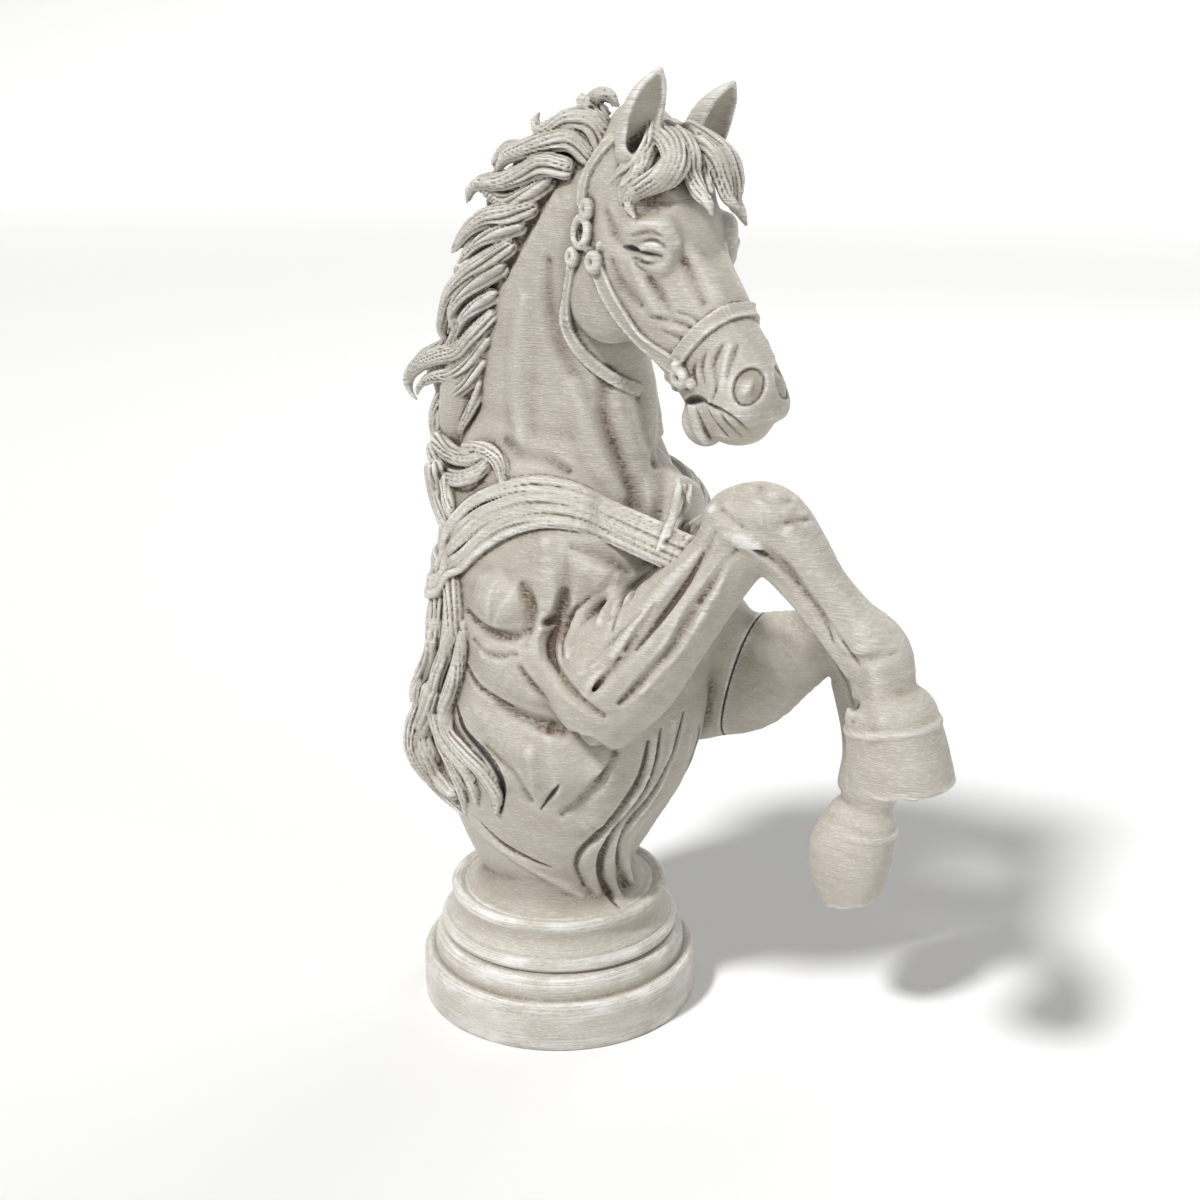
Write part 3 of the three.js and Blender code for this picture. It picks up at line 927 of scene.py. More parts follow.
@dataclass
class FarForeleg(Sculpture):
    """The left foreleg, printed apart and glued on at its seam."""

    seam: Seam = field(default_factory=Seam)

    def coarse(self) -> Clay:
        """Makes the limb on a coarse grid."""
        clay = Clay.block((38, 6, 40), (112, 46, 140), self.fine * 3)
        LEFT_LEG.shape(clay)
        return clay

    def carve(self, clay: Clay) -> None:
        """Works the tendons and cuts the limb at its seam."""
        carve_leg(clay, LEFT_LEG, Side.LEFT)
        low, high = clay.low, clay.low + clay.step * (np.array(clay.values.shape) - 1)
        clay.trim(lambda at: -self.seam.beyond(at), low, high)


def carve_leg(clay: Clay, leg: Limb, side: Side) -> None:
    """Works bones, tendons and hoof into a foreleg.

    Args:
        clay: The clay with the limb on it.
        leg: The limb's stations.
        side: Which leg it is; not used.
    """
    fore, shank, hoof = (lifted(part) for part in (leg.forearm, leg.shank, leg.hoof))
    knee, coronet, sole = shank[1], hoof[0], hoof[-1]
    for s in (-1, 1):
        for k in (2, 3):
            clay.work(Mass(shank[1, :3] + [1.5 * (k - 2), s * knee[3] * 0.62, 3 - 5 * (k - 2)],
                (4.2, 3.2, 3.6)), 1.6)
    down = unit(shank[4:5, :3] - shank[2:3, :3])[0]
    back = unit(np.cross(down, [0.0, 1.0, 0.0])[None])[0]
    if back[0] > 0:
        back = -back
    for s in (-1, 1):
        rows = []
        for k in (2, 3, 4, 5):
            rows.append([*(shank[k, :3] + back * shank[k, 4] * 0.72 + np.array([0, s * 2.6, 0])), 2.4, 2.6])
        clay.work(Tube(rows, steps=3), 1.2)
        rows = []
        for k in (1, 2, 3, 4, 5):
            rows.append([*(shank[k, :3] + back * shank[k,
                4] * 0.2 + np.array([0, s * shank[k, 3] * 1.02, 0])), 0.7, 0.7])
        clay.work(Tube(rows, steps=3), 1.0, Work.CARVE)
    ring = []
    axis = unit((sole - coronet)[None, :3])[0]
    front = unit(np.cross([0.0, 1.0, 0.0], axis)[None])[0]
    for k in range(17):
        a = 2 * math.pi * k / 16
        edge = coronet[:3] + axis * 0.8
        ring.append([*(edge + front * math.cos(a) * coronet[4] + np.array([0, 1,
            0]) * math.sin(a) * coronet[3]), 1.1, 1.1])
    clay.work(Tube(ring, axis, steps=2), 0.8)
    clay.work(Mass(sole[:3] + axis * 3.2, (sole[4] * 0.74, sole[3] * 0.7, 4.5),
        (0, math.degrees(math.atan2(axis[0], -axis[2])) * -1, 0)), 0.8, Work.CARVE)


@dataclass(frozen=True)
class Stand:
    """Where the viewer stands: place in millimetres, turn and pitch in degrees, lens and middle in pixels."""

    place: Point = (269.2, -390.8, 272.8)
    turn: float = 33.0
    pitch: float = 17.0
    focal: float = 1650.0
    middle: float = 600.0

    def axes(self) -> np.ndarray:
        """Returns the ways to the right, up and ahead, one to a row."""
        a, p = math.radians(self.turn), math.radians(self.pitch)
        right = np.array([math.cos(a), math.sin(a), 0.0])
        ahead = np.array([-math.sin(a) * math.cos(p), math.cos(a) * math.cos(p), -math.sin(p)])
        return np.stack([right, np.cross(right, ahead), ahead])

    def rays(self, spots: np.ndarray) -> np.ndarray:
        """Returns the directions in which spots of the 1200 frame are seen."""
        flat = (spots[:, :2] - self.middle) / self.focal
        right, up, ahead = self.axes()
        return unit(ahead + flat[:, :1] * right - flat[:, 1:2] * up)

    def upright(self, rows: Rows, toward: float = 0.0) -> np.ndarray:
        """Puts spots on the upright plane that faces the viewer through the socle's axis.

        Args:
            rows: Spots across and down the frame, with any other numbers after them.
            toward: How far the plane is moved towards the viewer.

        Returns:
            Rows with x, y, z and the other numbers.
        """
        rows = np.asarray(rows, dtype=float)
        ways = self.rays(rows)
        face = np.array([math.sin(math.radians(self.turn)), -math.cos(math.radians(self.turn)), 0.0])
        place = np.asarray(self.place)
        reach = (toward - place @ face) / (ways @ face)
        return np.hstack([place + ways * reach[:, None], rows[:, 2:]])

    def landed(self, clay: Clay, rows: Rows, toward: float = 0.0) -> np.ndarray:
        """Lays spots on the clay where the viewer sees it, or on the upright plane beside it.

        Args:
            clay: The clay to land on.
            rows: Spots across and down the frame, with any other numbers after them.
            toward: The plane for spots that miss the clay.

        Returns:
            Rows with x, y, z and the other numbers.
        """
        rows = np.asarray(rows, dtype=float)
        ways = self.rays(rows)
        starts = np.asarray(self.place) + ways * 330
        at = clay.land(starts, ways)
        missed = np.abs(clay.sample(at)) > 0.6
        at[missed] = self.upright(rows, toward)[missed, :3]
        return np.hstack([at, rows[:, 2:]])

    def on_plane(self, rows: Rows, place: Place, aside: float) -> np.ndarray:
        """Puts spots on a plane of another frame.

        Args:
            rows: Spots across and down the frame, with any other numbers after them.
            place: The frame whose Y the plane has.
            aside: The plane's Y in it.

        Returns:
            Rows with x, y, z and the other numbers.
        """
        rows = np.asarray(rows, dtype=float)
        ways = self.rays(rows)
        face = place.way([[0, 1, 0]])[0]
        point = place.point([[0, aside, 0]])[0]
        reach = ((point - np.asarray(self.place)) @ face) / (ways @ face)
        return np.hstack([np.asarray(self.place) + ways * reach[:, None], rows[:, 2:]])

    def on_crest(self, rows: Rows) -> np.ndarray:
        """Puts spots x, y, aside beside the crest of the neck, which leans to the right higher up."""
        rows = np.asarray(rows, dtype=float)
        ways = self.rays(rows)
        place = np.asarray(self.place)
        at = place + ways * 480
        for _ in range(6):
            lean = np.array([crest_lean(z - SOCLE_HEIGHT) for z in at[:, 2]])
            reach = (lean + rows[:, 2] - place[1]) / ways[:, 1]
            at = place + ways * reach[:, None]
        return np.hstack([at, rows[:, 3:]])


STAND = Stand()
FRONT_TURN = 30.0


def smooth_step(x: float, low: float, high: float) -> float:
    """Eases from 0 at low to 1 at high."""
    t = min(max((x - low) / (high - low), 0.0), 1.0)
    return t * t * (3 - 2 * t)


def crest_lean(z: float) -> float:
    """Returns the Y of the crest at a height over the socle."""
    return -18 * smooth_step(z, 130, 232)


class Region(Enum):
    """Which part of the horse a trace is mirrored about."""

    HEAD = "head"
    NECK = "neck"
    TRUNK = "trunk"
    FRONT = "trunk, about the right edge of the view"
    NEAR = "near side only"


def other_side(clay: Clay, rows: np.ndarray, region: Region) -> np.ndarray:
    """Lays rows of the right side on the left one.

    Args:
        clay: The clay to land on.
        rows: Rows x, y, z and other numbers.
        region: How the part is mirrored.

    Returns:
        The rows of the left side.
    """
    if region is Region.TRUNK:
        turn = -np.degrees(np.arctan2(rows[:, 1], rows[:, 0]))
        return from_round(clay, np.column_stack([turn, rows[:, 2] - SOCLE_HEIGHT, rows[:, 3:]]))
    if region is Region.FRONT:
        turn = 2 * FRONT_TURN - np.degrees(np.arctan2(rows[:, 1], rows[:, 0]))
        return from_round(clay, np.column_stack([turn, rows[:, 2] - SOCLE_HEIGHT, rows[:, 3:]]))
    if region is Region.HEAD:
        local = (rows[:, :3] - np.asarray(HEAD.origin)) @ HEAD.matrix()
        local[:, 1] *= -1
        return np.hstack([HEAD.point(local), rows[:, 3:]])
    return from_side(clay, np.column_stack([rows[:, 0], rows[:, 2] - SOCLE_HEIGHT, rows[:, 3:]]), Side.LEFT)


@dataclass(frozen=True)
class Trace:
    """A ridge or a groove, by where the viewer sees it.

    Args:
        points: Spots across and down the 1200 frame.
        radius: The tool's radius in millimetres, which tapers to both ends.
        rise: How far the tool's middle stands out of the skin.
        blend: The fillet beside it.
        how: A ridge or a groove.
        region: How it is mirrored.
    """

    points: Rows
    radius: float
    rise: float
    blend: float = 1.0
    how: Work = Work.CARVE
    region: Region = Region.HEAD

    def cut(self, clay: Clay) -> None:
        """Works the trace into the clay, on both sides where it has two."""
        t = np.linspace(0, 1, len(self.points))
        radius = self.radius * (0.22 + 0.78 * np.sin(math.pi * np.clip(t, 0.02, 0.98)) ** 0.6)
        near = STAND.landed(clay, np.column_stack([np.asarray(self.points, dtype=float), radius]))
        sides = [near]
        if self.region is not Region.NEAR:
            sides.append(other_side(clay, near, self.region))
        for rows in sides:
            out = clay.slope(rows[:, :3], 1.2)
            share = (rows[:, 3:4] / self.radius) * self.rise
            middle = rows[:, :3] + out * share
            clay.work(Tube(np.hstack([middle, rows[:, 3:4], rows[:, 3:4]]), (0.3, 0.2, 1.0), steps=3),
                self.blend, self.how)


def ridge(points: Rows, radius: float, rise: float, blend: float, region: Region = Region.HEAD) -> Trace:
    """Writes a trace that stands proud."""
    return Trace(points, radius, rise, blend, Work.ADD, region)


def groove(points: Rows, radius: float, rise: float, blend: float, region: Region = Region.HEAD) -> Trace:
    """Writes a trace that is cut in."""
    return Trace(points, radius, rise, blend, Work.CARVE, region)


NECK_TRACES = (
    groove(((606, 372), (603, 410), (612, 442), (628, 480), (645, 515), (655, 534)),
            3.0, 1.5, 3, Region.NECK),
    groove(((664, 425), (664, 455), (662, 490), (657, 522)), 2.6, 1.2, 2.5, Region.NECK),
    groove(((640, 400), (650, 430), (655, 462)), 2.0, 1.2, 2.5, Region.NECK),
    groove(((548, 262), (548, 300), (556, 340), (572, 372), (588, 400)), 2.4, 1.5, 2.5, Region.NECK),
    ridge(((525, 300), (520, 350), (519, 400), (522, 445)), 3.4, -1.9, 3, Region.NECK),
    ridge(((575, 385), (585, 420), (602, 460), (622, 495)), 3.0, -1.7, 3, Region.NECK),
    groove(((505, 440), (520, 452), (545, 458), (568, 470)), 2.0, 1.2, 2, Region.NECK),
    groove(((590, 160), (560, 175), (541, 205), (522, 240), (503, 278)), 1.8, 1.0, 1.6, Region.NECK),
)

TRUNK_TRACES = (
    groove(((468, 612), (480, 626), (496, 635), (514, 637), (528, 630)), 1.8, 0.4, 1.4, Region.TRUNK),
    groove(((522, 586), (532, 606), (532, 626), (526, 644)), 1.8, 1.2, 2.0, Region.TRUNK),
    groove(((566, 560), (566, 582), (562, 606)), 2.4, 1.7, 2.0, Region.NEAR),
    groove(((565, 592), (563, 604), (556, 624), (549, 645), (552, 664), (564, 684), (582, 702), (602, 716)),
            2.4, 0.7, 1.8, Region.NEAR),
    groove(((560, 622), (552, 640), (552, 656), (559, 672)), 1.3, 0.0, 0.6, Region.NEAR),
    groove(((590, 598), (574, 614), (564, 634), (562, 656)), 1.2, 0.3, 0.8, Region.NEAR),
    ridge(((612, 590), (588, 608), (572, 632), (568, 656)), 2.0, -1.1, 1.4, Region.NEAR),
    groove(((498, 704), (530, 720), (560, 731), (590, 742), (615, 754)), 2.2, 0.6, 2.0, Region.TRUNK),
    groove(((465, 662), (476, 684), (494, 698), (512, 706)), 1.2, 0.3, 0.8, Region.TRUNK),
    groove(((474, 640), (484, 652), (500, 656), (516, 654)), 1.2, 0.5, 1.0, Region.TRUNK),
    groove(((520, 668), (534, 688), (548, 702)), 1.5, 0.6, 1.5, Region.TRUNK),
    groove(((572, 548), (600, 556), (630, 572)), 2.2, 1.2, 2.2, Region.TRUNK),
    groove(((486, 748), (510, 772), (530, 800)), 2.0, 1.2, 2.0, Region.TRUNK),
    groove(((612, 762), (590, 792), (562, 815)), 2.0, 1.1, 2.0, Region.TRUNK),
)

FOREARM_TRACES = (
    ridge(((600, 622), (628, 590), (680, 545), (712, 510)), 2.6, -1.4, 2.2, Region.NEAR),
    ridge(((615, 655), (655, 600), (697, 556)), 2.6, -1.4, 2.2, Region.NEAR),
    ridge(((640, 690), (675, 642), (705, 600), (727, 560)), 2.8, -1.3, 2.0, Region.NEAR),
    groove(((592, 696), (608, 674), (640, 640), (680, 590), (702, 556), (714, 533)),
            1.7, 1.0, 1.6, Region.NEAR),
    groove(((610, 618), (630, 596), (655, 572), (676, 552)), 1.2, 0.7, 1.2, Region.NEAR),
    groove(((586, 668), (612, 640), (640, 612)), 1.0, 0.6, 1.0, Region.NEAR),
    groove(((584, 700), (600, 682), (620, 658)), 0.9, 0.2, 0.6, Region.NEAR),
    groove(((620, 704), (650, 674), (674, 648), (691, 615), (706, 592), (719, 572)),
            2.3, 0.1, 1.2, Region.NEAR),
    groove(((636, 650), (662, 618), (688, 582), (704, 552)), 0.9, 0.0, 0.5, Region.NEAR),
    groove(((612, 630), (618, 606), (632, 588), (657, 566)), 1.4, 0.5, 1.0, Region.NEAR),
    groove(((655, 605), (640, 628), (625, 650)), 1.2, 0.5, 1.0, Region.NEAR),
    groove(((655, 558), (680, 536), (703, 513)), 1.1, 0.4, 0.8, Region.NEAR),
    groove(((700, 602), (722, 567), (737, 550)), 1.5, 0.5, 1.0, Region.NEAR),
)

KNEE_TRACES = (
    ridge(((752, 512), (766, 510), (780, 512)), 4.0, -2.2, 2.5, Region.NEAR),
    ridge(((726, 536), (742, 541), (760, 549)), 2.2, -0.9, 1.6, Region.NEAR),
    ridge(((788, 533), (808, 560), (830, 590), (852, 612)), 3.4, -2.3, 2.2, Region.NEAR),
    ridge(((858, 628), (864, 640), (866, 650)), 4.4, -2.8, 2.5, Region.NEAR),
    ridge(((876, 672), (880, 700), (884, 722)), 3.6, -2.6, 2.4, Region.NEAR),
    groove(((722, 510), (730, 518), (742, 526)), 1.5, 0.9, 1.2, Region.NEAR),
    groove(((764, 548), (784, 566), (802, 592), (820, 615), (832, 642)), 1.7, 0.5, 1.4, Region.NEAR),
    groove(((786, 523), (797, 520), (808, 519)), 1.0, 0.5, 1.0, Region.NEAR),
    groove(((844, 655), (860, 660), (880, 657), (896, 653)), 1.3, 0.9, 1.2, Region.NEAR),
    groove(((760, 486), (764, 496), (776, 502), (790, 500)), 1.6, 0.9, 1.5, Region.NEAR),
    groove(((850, 690), (856, 705), (852, 722)), 1.4, 0.6, 1.2, Region.NEAR),
)

FOLD_TRACES = (
    ridge(((654, 738), (648, 775), (631, 803), (608, 832), (592, 852), (590, 872), (599, 893)),
            2.8, -1.7, 1.2, Region.FRONT),
    ridge(((673, 722), (665, 770), (645, 805), (622, 832), (611, 852), (610, 875), (620, 897)),
            2.8, -1.6, 1.2, Region.FRONT),
    ridge(((690, 735), (676, 782), (650, 812), (631, 836), (626, 856), (632, 882)),
            2.8, -2.0, 1.2, Region.FRONT),
    ridge(((470, 816), (488, 838), (512, 856), (545, 876), (582, 896)), 2.0, -1.3, 1.2, Region.NEAR),
    groove(((648, 742), (641, 775), (622, 808), (600, 833), (582, 850), (576, 866), (584, 886)),
            1.3, 0.2, 0.8, Region.FRONT),
    groove(((661, 730), (655, 768), (640, 800), (616, 830), (603, 850), (600, 872), (608, 893), (620, 908)),
            1.3, 0.0, 0.6, Region.FRONT),
    groove(((684, 712), (676, 745), (665, 775), (650, 800), (632, 820), (621, 842), (618, 862), (624, 886)),
            1.3, 0.1, 0.6, Region.FRONT),
    groove(((480, 822), (500, 842), (525, 857), (552, 868)), 1.0, 0.3, 0.6, Region.NEAR),
    groove(((542, 808), (550, 797), (559, 785)), 0.9, 0.1, 0.4, Region.NEAR),
    groove(((457, 706), (464, 729), (481, 750), (496, 770), (503, 790), (500, 812)),
            1.3, 0.0, 0.4, Region.NEAR),
)

SWELL_TRACES = (
    ridge(((486, 584), (504, 598), (520, 604)), 9.0, -6.6, 2.4, Region.TRUNK),
    ridge(((546, 545), (549, 590), (540, 632)), 5.5, -4.0, 2.2, Region.TRUNK),
    ridge(((574, 655), (590, 680), (604, 702)), 9.0, -6.9, 2.4, Region.NEAR),
    ridge(((500, 765), (545, 768), (590, 775)), 14.0, -11.9, 5.0, Region.TRUNK),
    ridge(((488, 656), (506, 676), (530, 696)), 8.0, -6.2, 3.0, Region.TRUNK),
    ridge(((590, 570), (610, 578), (624, 590)), 6.5, -4.9, 3.0, Region.TRUNK),
    ridge(((480, 712), (502, 735), (528, 752)), 7.0, -5.7, 3.0, Region.TRUNK),
    ridge(((600, 770), (604, 800), (588, 826)), 7.0, -5.8, 3.0, Region.NEAR),
)

FACE_TRACES = (
    ridge(((630, 230), (646, 224), (662, 227), (676, 242)), 2.6, -1.5, 2.4),
    groove(((640, 214), (652, 206), (666, 204)), 3.2, 1.9, 2.4),
    groove(((632, 236), (648, 232), (664, 237)), 0.9, 0.35, 0.6),
    groove(((606, 214), (612, 232), (622, 246)), 2.6, 1.5, 2.0),
    ridge(((634, 268), (642, 284), (651, 301), (656, 312)), 1.9, -1.1, 1.8),
    groove(((650, 280), (660, 296), (669, 313)), 1.8, 1.0, 1.6),
    ridge(((690, 250), (706, 272), (718, 298), (725, 316)), 2.0, -1.3, 2.2),
    groove(((686, 262), (694, 280), (703, 303)), 1.6, 1.0, 1.6),
    groove(((612, 262), (622, 285), (640, 305)), 1.8, 1.2, 2.0),
    groove(((648, 317), (668, 320), (688, 326), (698, 335)), 0.8, 0.4, 0.8),
    groove(((662, 331), (680, 338), (692, 346)), 0.8, 0.45, 0.8),
    groove(((676, 312), (690, 316), (705, 325)), 0.7, 0.4, 0.8),
    groove(((722, 345), (713, 365), (715, 385), (711, 402)), 1.0, 0.35, 0.9),
    ridge(((730, 345), (726, 365), (721, 390)), 1.1, -0.6, 0.9),
    groove(((738, 345), (733, 358), (727, 376)), 0.9, 0.4, 0.8),
    groove(((706, 352), (701, 366), (704, 382)), 0.9, 0.35, 0.8),
    groove(((697, 360), (693, 372), (697, 386)), 0.8, 0.35, 0.7),
    ridge(((728, 410), (748, 419), (768, 416)), 2.4, -1.5, 1.8),
    groove(((685, 402), (695, 400), (706, 401)), 1.3, -0.1, 0.5),
    groove(((704, 401), (720, 410), (736, 421), (750, 432)), 0.75, 0.0, 0.4),
    groove(((696, 408), (702, 425), (712, 441)), 0.85, 0.2, 0.5),
    groove(((707, 407), (716, 424), (730, 439)), 0.85, 0.2, 0.5),
    groove(((721, 414), (730, 427), (742, 437)), 0.8, 0.2, 0.5),
)

EYE_TRACES = (
    groove(((628, 252), (644, 257), (662, 259)), 2.2, 1.6, 1.4),
    ridge(((639, 250), (648, 246), (657, 247), (664, 252)), 1.05, -0.25, 0.4),
    groove(((636, 244), (647, 240), (658, 241), (667, 248)), 0.55, 0.1, 0.3),
    groove(((638, 251.5), (649, 253.5), (662, 256)), 0.5, 0.0, 0.15),
    groove(((624, 247), (632, 248.5), (640, 251)), 0.9, 0.0, 0.3),
    ridge(((640, 256), (649, 259), (659, 258.5)), 0.65, 0.0, 0.25),
    groove(((634, 257), (643, 262.5), (655, 264)), 0.55, 0.15, 0.3),
    groove(((631, 257), (637, 266), (646, 272)), 0.6, 0.2, 0.4),
)

INK_LINES = (
    ((628, 248, 0.3), (634, 249, 0.5), (641, 251, 0.35), (652, 254, 0.15)),
    ((690, 401, 0.2), (696, 401, 0.5), (703, 401, 0.3)),
    ((541, 809, 0.2), (549, 798, 0.35), (559, 785, 0.15)),
    ((457, 708, 0.2), (464, 729, 0.4), (481, 750, 0.5), (496, 770, 0.65), (503, 790, 0.6), (500, 812, 0.3)),
    ((578, 228, 0.2), (577, 238, 0.3), (582, 246, 0.2)),
    ((727, 706, 0.5), (729, 697, 1.0), (731, 687, 0.6)),
)


@dataclass(frozen=True)
class Lock:
    """A lock of hair.

    Args:
        stations: Spots across and down the 1200 frame, how far aside, half width and half depth.
        strands: How many strands it has.
        far: Whether it is mirrored onto the left side.
    """

    stations: Rows
    strands: int = 7
    far: bool = True


MANE = (
    Lock(((610, 142, -2, 3.4, 3), (599, 122, -2, 3.4, 3.2), (593, 107, -1.5, 3.0, 3),
            (598, 96, -1, 2.6, 2.6), (608, 95, 0, 2.2, 2.2), (616, 104, 1, 1.4, 1.4)), 5, False),
    Lock(((606, 146, -5, 4.2, 3.4), (594, 124, -5, 4.2, 3.6), (572, 119, -5, 3.6, 3.4),
            (553, 128, -4.5, 3.0, 3), (540, 130, -4, 2.2, 2.4), (535, 121, -3.5, 1.3, 1.5),
            (539, 113, -3, 0.6, 0.7))),
    Lock(((590, 156, -6, 3.6, 3.4), (572, 140, -6, 3.8, 3.6), (548, 142, -5.5, 3.6, 3.4),
            (522, 150, -5, 3.2, 3), (505, 158, -4, 2.4, 2.4), (497, 174, -3.5, 0.7, 0.8))),
    Lock(((592, 142, 0, 3.6, 3.2), (560, 136, -1, 3.8, 3.4), (530, 148, -2, 3, 3), (510, 148, -2, 2.6, 2.4),
            (497, 160, -2, 1.8, 2), (499, 175, -2, 0.7, 0.8)), 6),
    Lock(((566, 168, -7, 3.6, 3.4), (545, 164, -7, 3.8, 3.6), (524, 174, -6.5, 3.6, 3.2),
            (502, 182, -5.5, 3.2, 3), (482, 182, -4.5, 2.4, 2.6), (470, 190, -4, 1.5, 1.8),
            (467, 202, -3.5, 0.5, 0.6))),
    Lock(((548, 182, -6, 3, 3), (530, 194, -7, 3.2, 3), (510, 202, -6, 3, 2.8), (494, 196, -5, 2.2, 2.4),
            (480, 188, -4, 1.2, 1.4)), 5),
    Lock(((545, 168, 0, 3, 3), (515, 178, -1, 3, 3), (490, 180, -2, 2.6, 2.6), (474, 188, -2, 1.6, 1.8),
            (469, 200, -2, 0.7, 0.7)), 5),
    Lock(((530, 208, -7.5, 3.4, 3.4), (512, 214, -8, 3.8, 3.6), (490, 217, -7, 3.6, 3.4),
            (472, 228, -6, 3.0, 3), (460, 242, -5, 2.0, 2.2), (452, 252, -4, 0.7, 0.8))),
    Lock(((520, 226, -8, 3, 3), (500, 232, -8.5, 3, 3), (482, 240, -7, 2.8, 2.6), (468, 252, -6, 2, 2),
            (459, 262, -5, 0.8, 0.8)), 5),
    Lock(((510, 246, -8.5, 3.2, 3.4), (492, 258, -8.5, 3.6, 3.4), (470, 272, -8, 3.4, 3.2),
            (452, 292, -6.5, 2.8, 3), (444, 315, -5.5, 2.2, 2.4), (442, 332, -5, 1.6, 1.8),
            (449, 344, -5, 0.6, 0.7))),
    Lock(((502, 268, -9, 3, 3), (482, 280, -9, 3, 3), (464, 294, -8, 2.8, 2.8), (454, 310, -7, 2.4, 2.4),
            (456, 326, -7, 1.8, 1.8), (466, 330, -7.5, 0.7, 0.8)), 5),
    Lock(((494, 296, -9, 2.8, 3), (480, 304, -9, 2.8, 2.8), (466, 316, -8, 2.4, 2.4),
            (458, 330, -7.5, 2, 2), (448, 342, -6, 0.8, 0.9)), 5),
    Lock(((494, 316, -9, 3, 3.2), (476, 334, -9, 3.4, 3.2), (461, 350, -8, 3.6, 3.2),
            (441, 355, -7, 3.4, 3), (421, 363, -6, 3, 2.8), (409, 377, -5, 2.2, 2.2),
            (410, 390, -5, 1.2, 1.4), (417, 400, -5, 0.5, 0.5)), 8),
    Lock(((490, 340, -9, 2.8, 3), (472, 362, -9, 3, 3), (455, 373, -8, 3, 2.8), (436, 376, -7, 2.6, 2.6),
            (421, 384, -6, 1.4, 1.6), (417, 394, -5.5, 0.6, 0.6)), 6),
    Lock(((460, 335, -2, 3, 3), (442, 348, -3, 3, 3), (425, 356, -3, 2.6, 2.6), (412, 368, -3, 1.4, 1.6),
            (407, 382, -3, 0.6, 0.6)), 6),
    Lock(((486, 362, -9, 2.8, 3), (470, 382, -9, 3, 3), (454, 396, -8, 3, 3), (446, 410, -7, 2.2, 2.4),
            (452, 424, -7, 0.8, 0.8)), 6),
    Lock(((484, 385, -9, 2.6, 2.8), (474, 408, -9, 2.6, 2.6), (464, 428, -9, 2.4, 2.4),
            (462, 446, -9, 1.4, 1.5)), 5),
    Lock(((456, 380, -3, 3.4, 3.4), (442, 400, -4, 3.2, 3.2), (436, 424, -4, 2.8, 2.8),
            (440, 448, -5, 2, 2)), 6),
    Lock(((452, 400, -7, 2.2, 2.4), (442, 418, -7, 2.2, 2.2), (443, 438, -7, 1.8, 1.8),
            (452, 452, -8, 0.9, 0.9)), 4),
    Lock(((482, 405, -3, 3, 4), (468, 430, -4, 3, 4), (462, 455, -5, 3, 4)), 4),
)

KNOT = (
    Lock(((438, 448, 0, 3.2, 3), (447, 470, 0, 3.6, 3), (466, 480, 0, 3.2, 3), (484, 470, 0, 2.4, 2.4),
            (492, 458, 0, 1.4, 1.4)), 6),
    Lock(((442, 440, 2, 3, 3), (456, 456, 2, 3, 3), (474, 462, 2, 2.6, 2.6), (492, 452, 2, 1.6, 1.6)), 6),
    Lock(((470, 450, 1, 2.4, 2.4), (488, 452, 1, 2.6, 2.4), (501, 464, 1, 2.4, 2.2),
            (504, 482, 0, 1.6, 1.6)), 4),
    Lock(((437, 470, -4, 3.4, 3.4), (441, 495, -4, 3.4, 3.2), (447, 520, -3, 2.6, 2.6),
            (450, 535, -2, 1.4, 1.6)), 6),
    Lock(((450, 482, 0, 2.6, 2.6), (452, 505, 0, 2.4, 2.4), (456, 522, 0, 1.2, 1.4)), 4),
)

BACK_HAIR = (
    Lock(((440, 690, -4, 4.4, 4), (432, 722, -4, 5.0, 4.4), (432, 748, -3, 5.0, 4.4),
            (444, 772, -1, 4.4, 4), (456, 792, 0, 2.6, 2.6)), 6),
    Lock(((444, 575, -8, 3.4, 3), (440, 610, -8, 3.6, 3.2), (436, 645, -8, 3.6, 3.2),
            (426, 672, -8, 3.2, 3), (417, 692, -8, 2.6, 2.6), (416, 710, -8, 1.0, 1.2)), 6),
    Lock(((454, 582, 0, 3.0, 2.6), (455, 612, 0, 3.2, 2.6), (452, 642, 0, 3.2, 2.6),
            (442, 670, 0, 3.2, 2.6), (438, 700, 0, 3.4, 2.8), (440, 722, 0, 2.8, 2.6),
            (449, 745, 0, 2.4, 2.2), (466, 768, 0, 2.2, 2.0), (475, 788, 0, 1.8, 1.8),
            (477, 802, 0, 0.8, 0.9)), 6),
    Lock(((464, 622, 0, 0.8, 0.8), (463, 645, 0, 2.0, 2.0), (458, 672, 0, 2.6, 2.4),
            (450, 702, 0, 3.0, 2.6), (452, 728, 0, 3.2, 2.8), (468, 750, 0, 3.2, 2.8),
            (486, 770, 0, 2.8, 2.6), (497, 792, 0, 2.2, 2.2), (497, 812, 0, 0.9, 1.0)), 6),
    Lock(((432, 690, -5, 3, 3), (426, 715, -5, 3, 2.8), (420, 740, -4, 3, 2.8), (424, 762, -2, 2.8, 2.6),
            (440, 780, 0, 2.4, 2.2), (452, 794, 0, 1.8, 1.8), (460, 806, 0, 0.8, 0.9)), 6),
    Lock(((424, 700, -9, 2.6, 2.8), (415, 722, -9, 3, 3), (412, 742, -9, 3, 3), (418, 762, -8, 2.6, 2.6),
            (432, 780, -6, 2.2, 2.2), (448, 800, -5, 1.4, 1.4), (462, 814, -4, 0.7, 0.8)), 6),
    Lock(((440, 715, 0, 2.6, 2.4), (445, 740, 0, 2.6, 2.4), (455, 765, 0, 2.4, 2.2), (463, 788, 0, 2, 2),
            (466, 812, 0, 0.8, 0.9)), 5),
    Lock(((446, 660, -2, 2, 2), (434, 690, -2, 2.4, 2.4), (430, 722, -2, 2.6, 2.4),
            (433, 746, -1, 2.4, 2.2), (432, 764, -1, 0.9, 1.0)), 4),
)

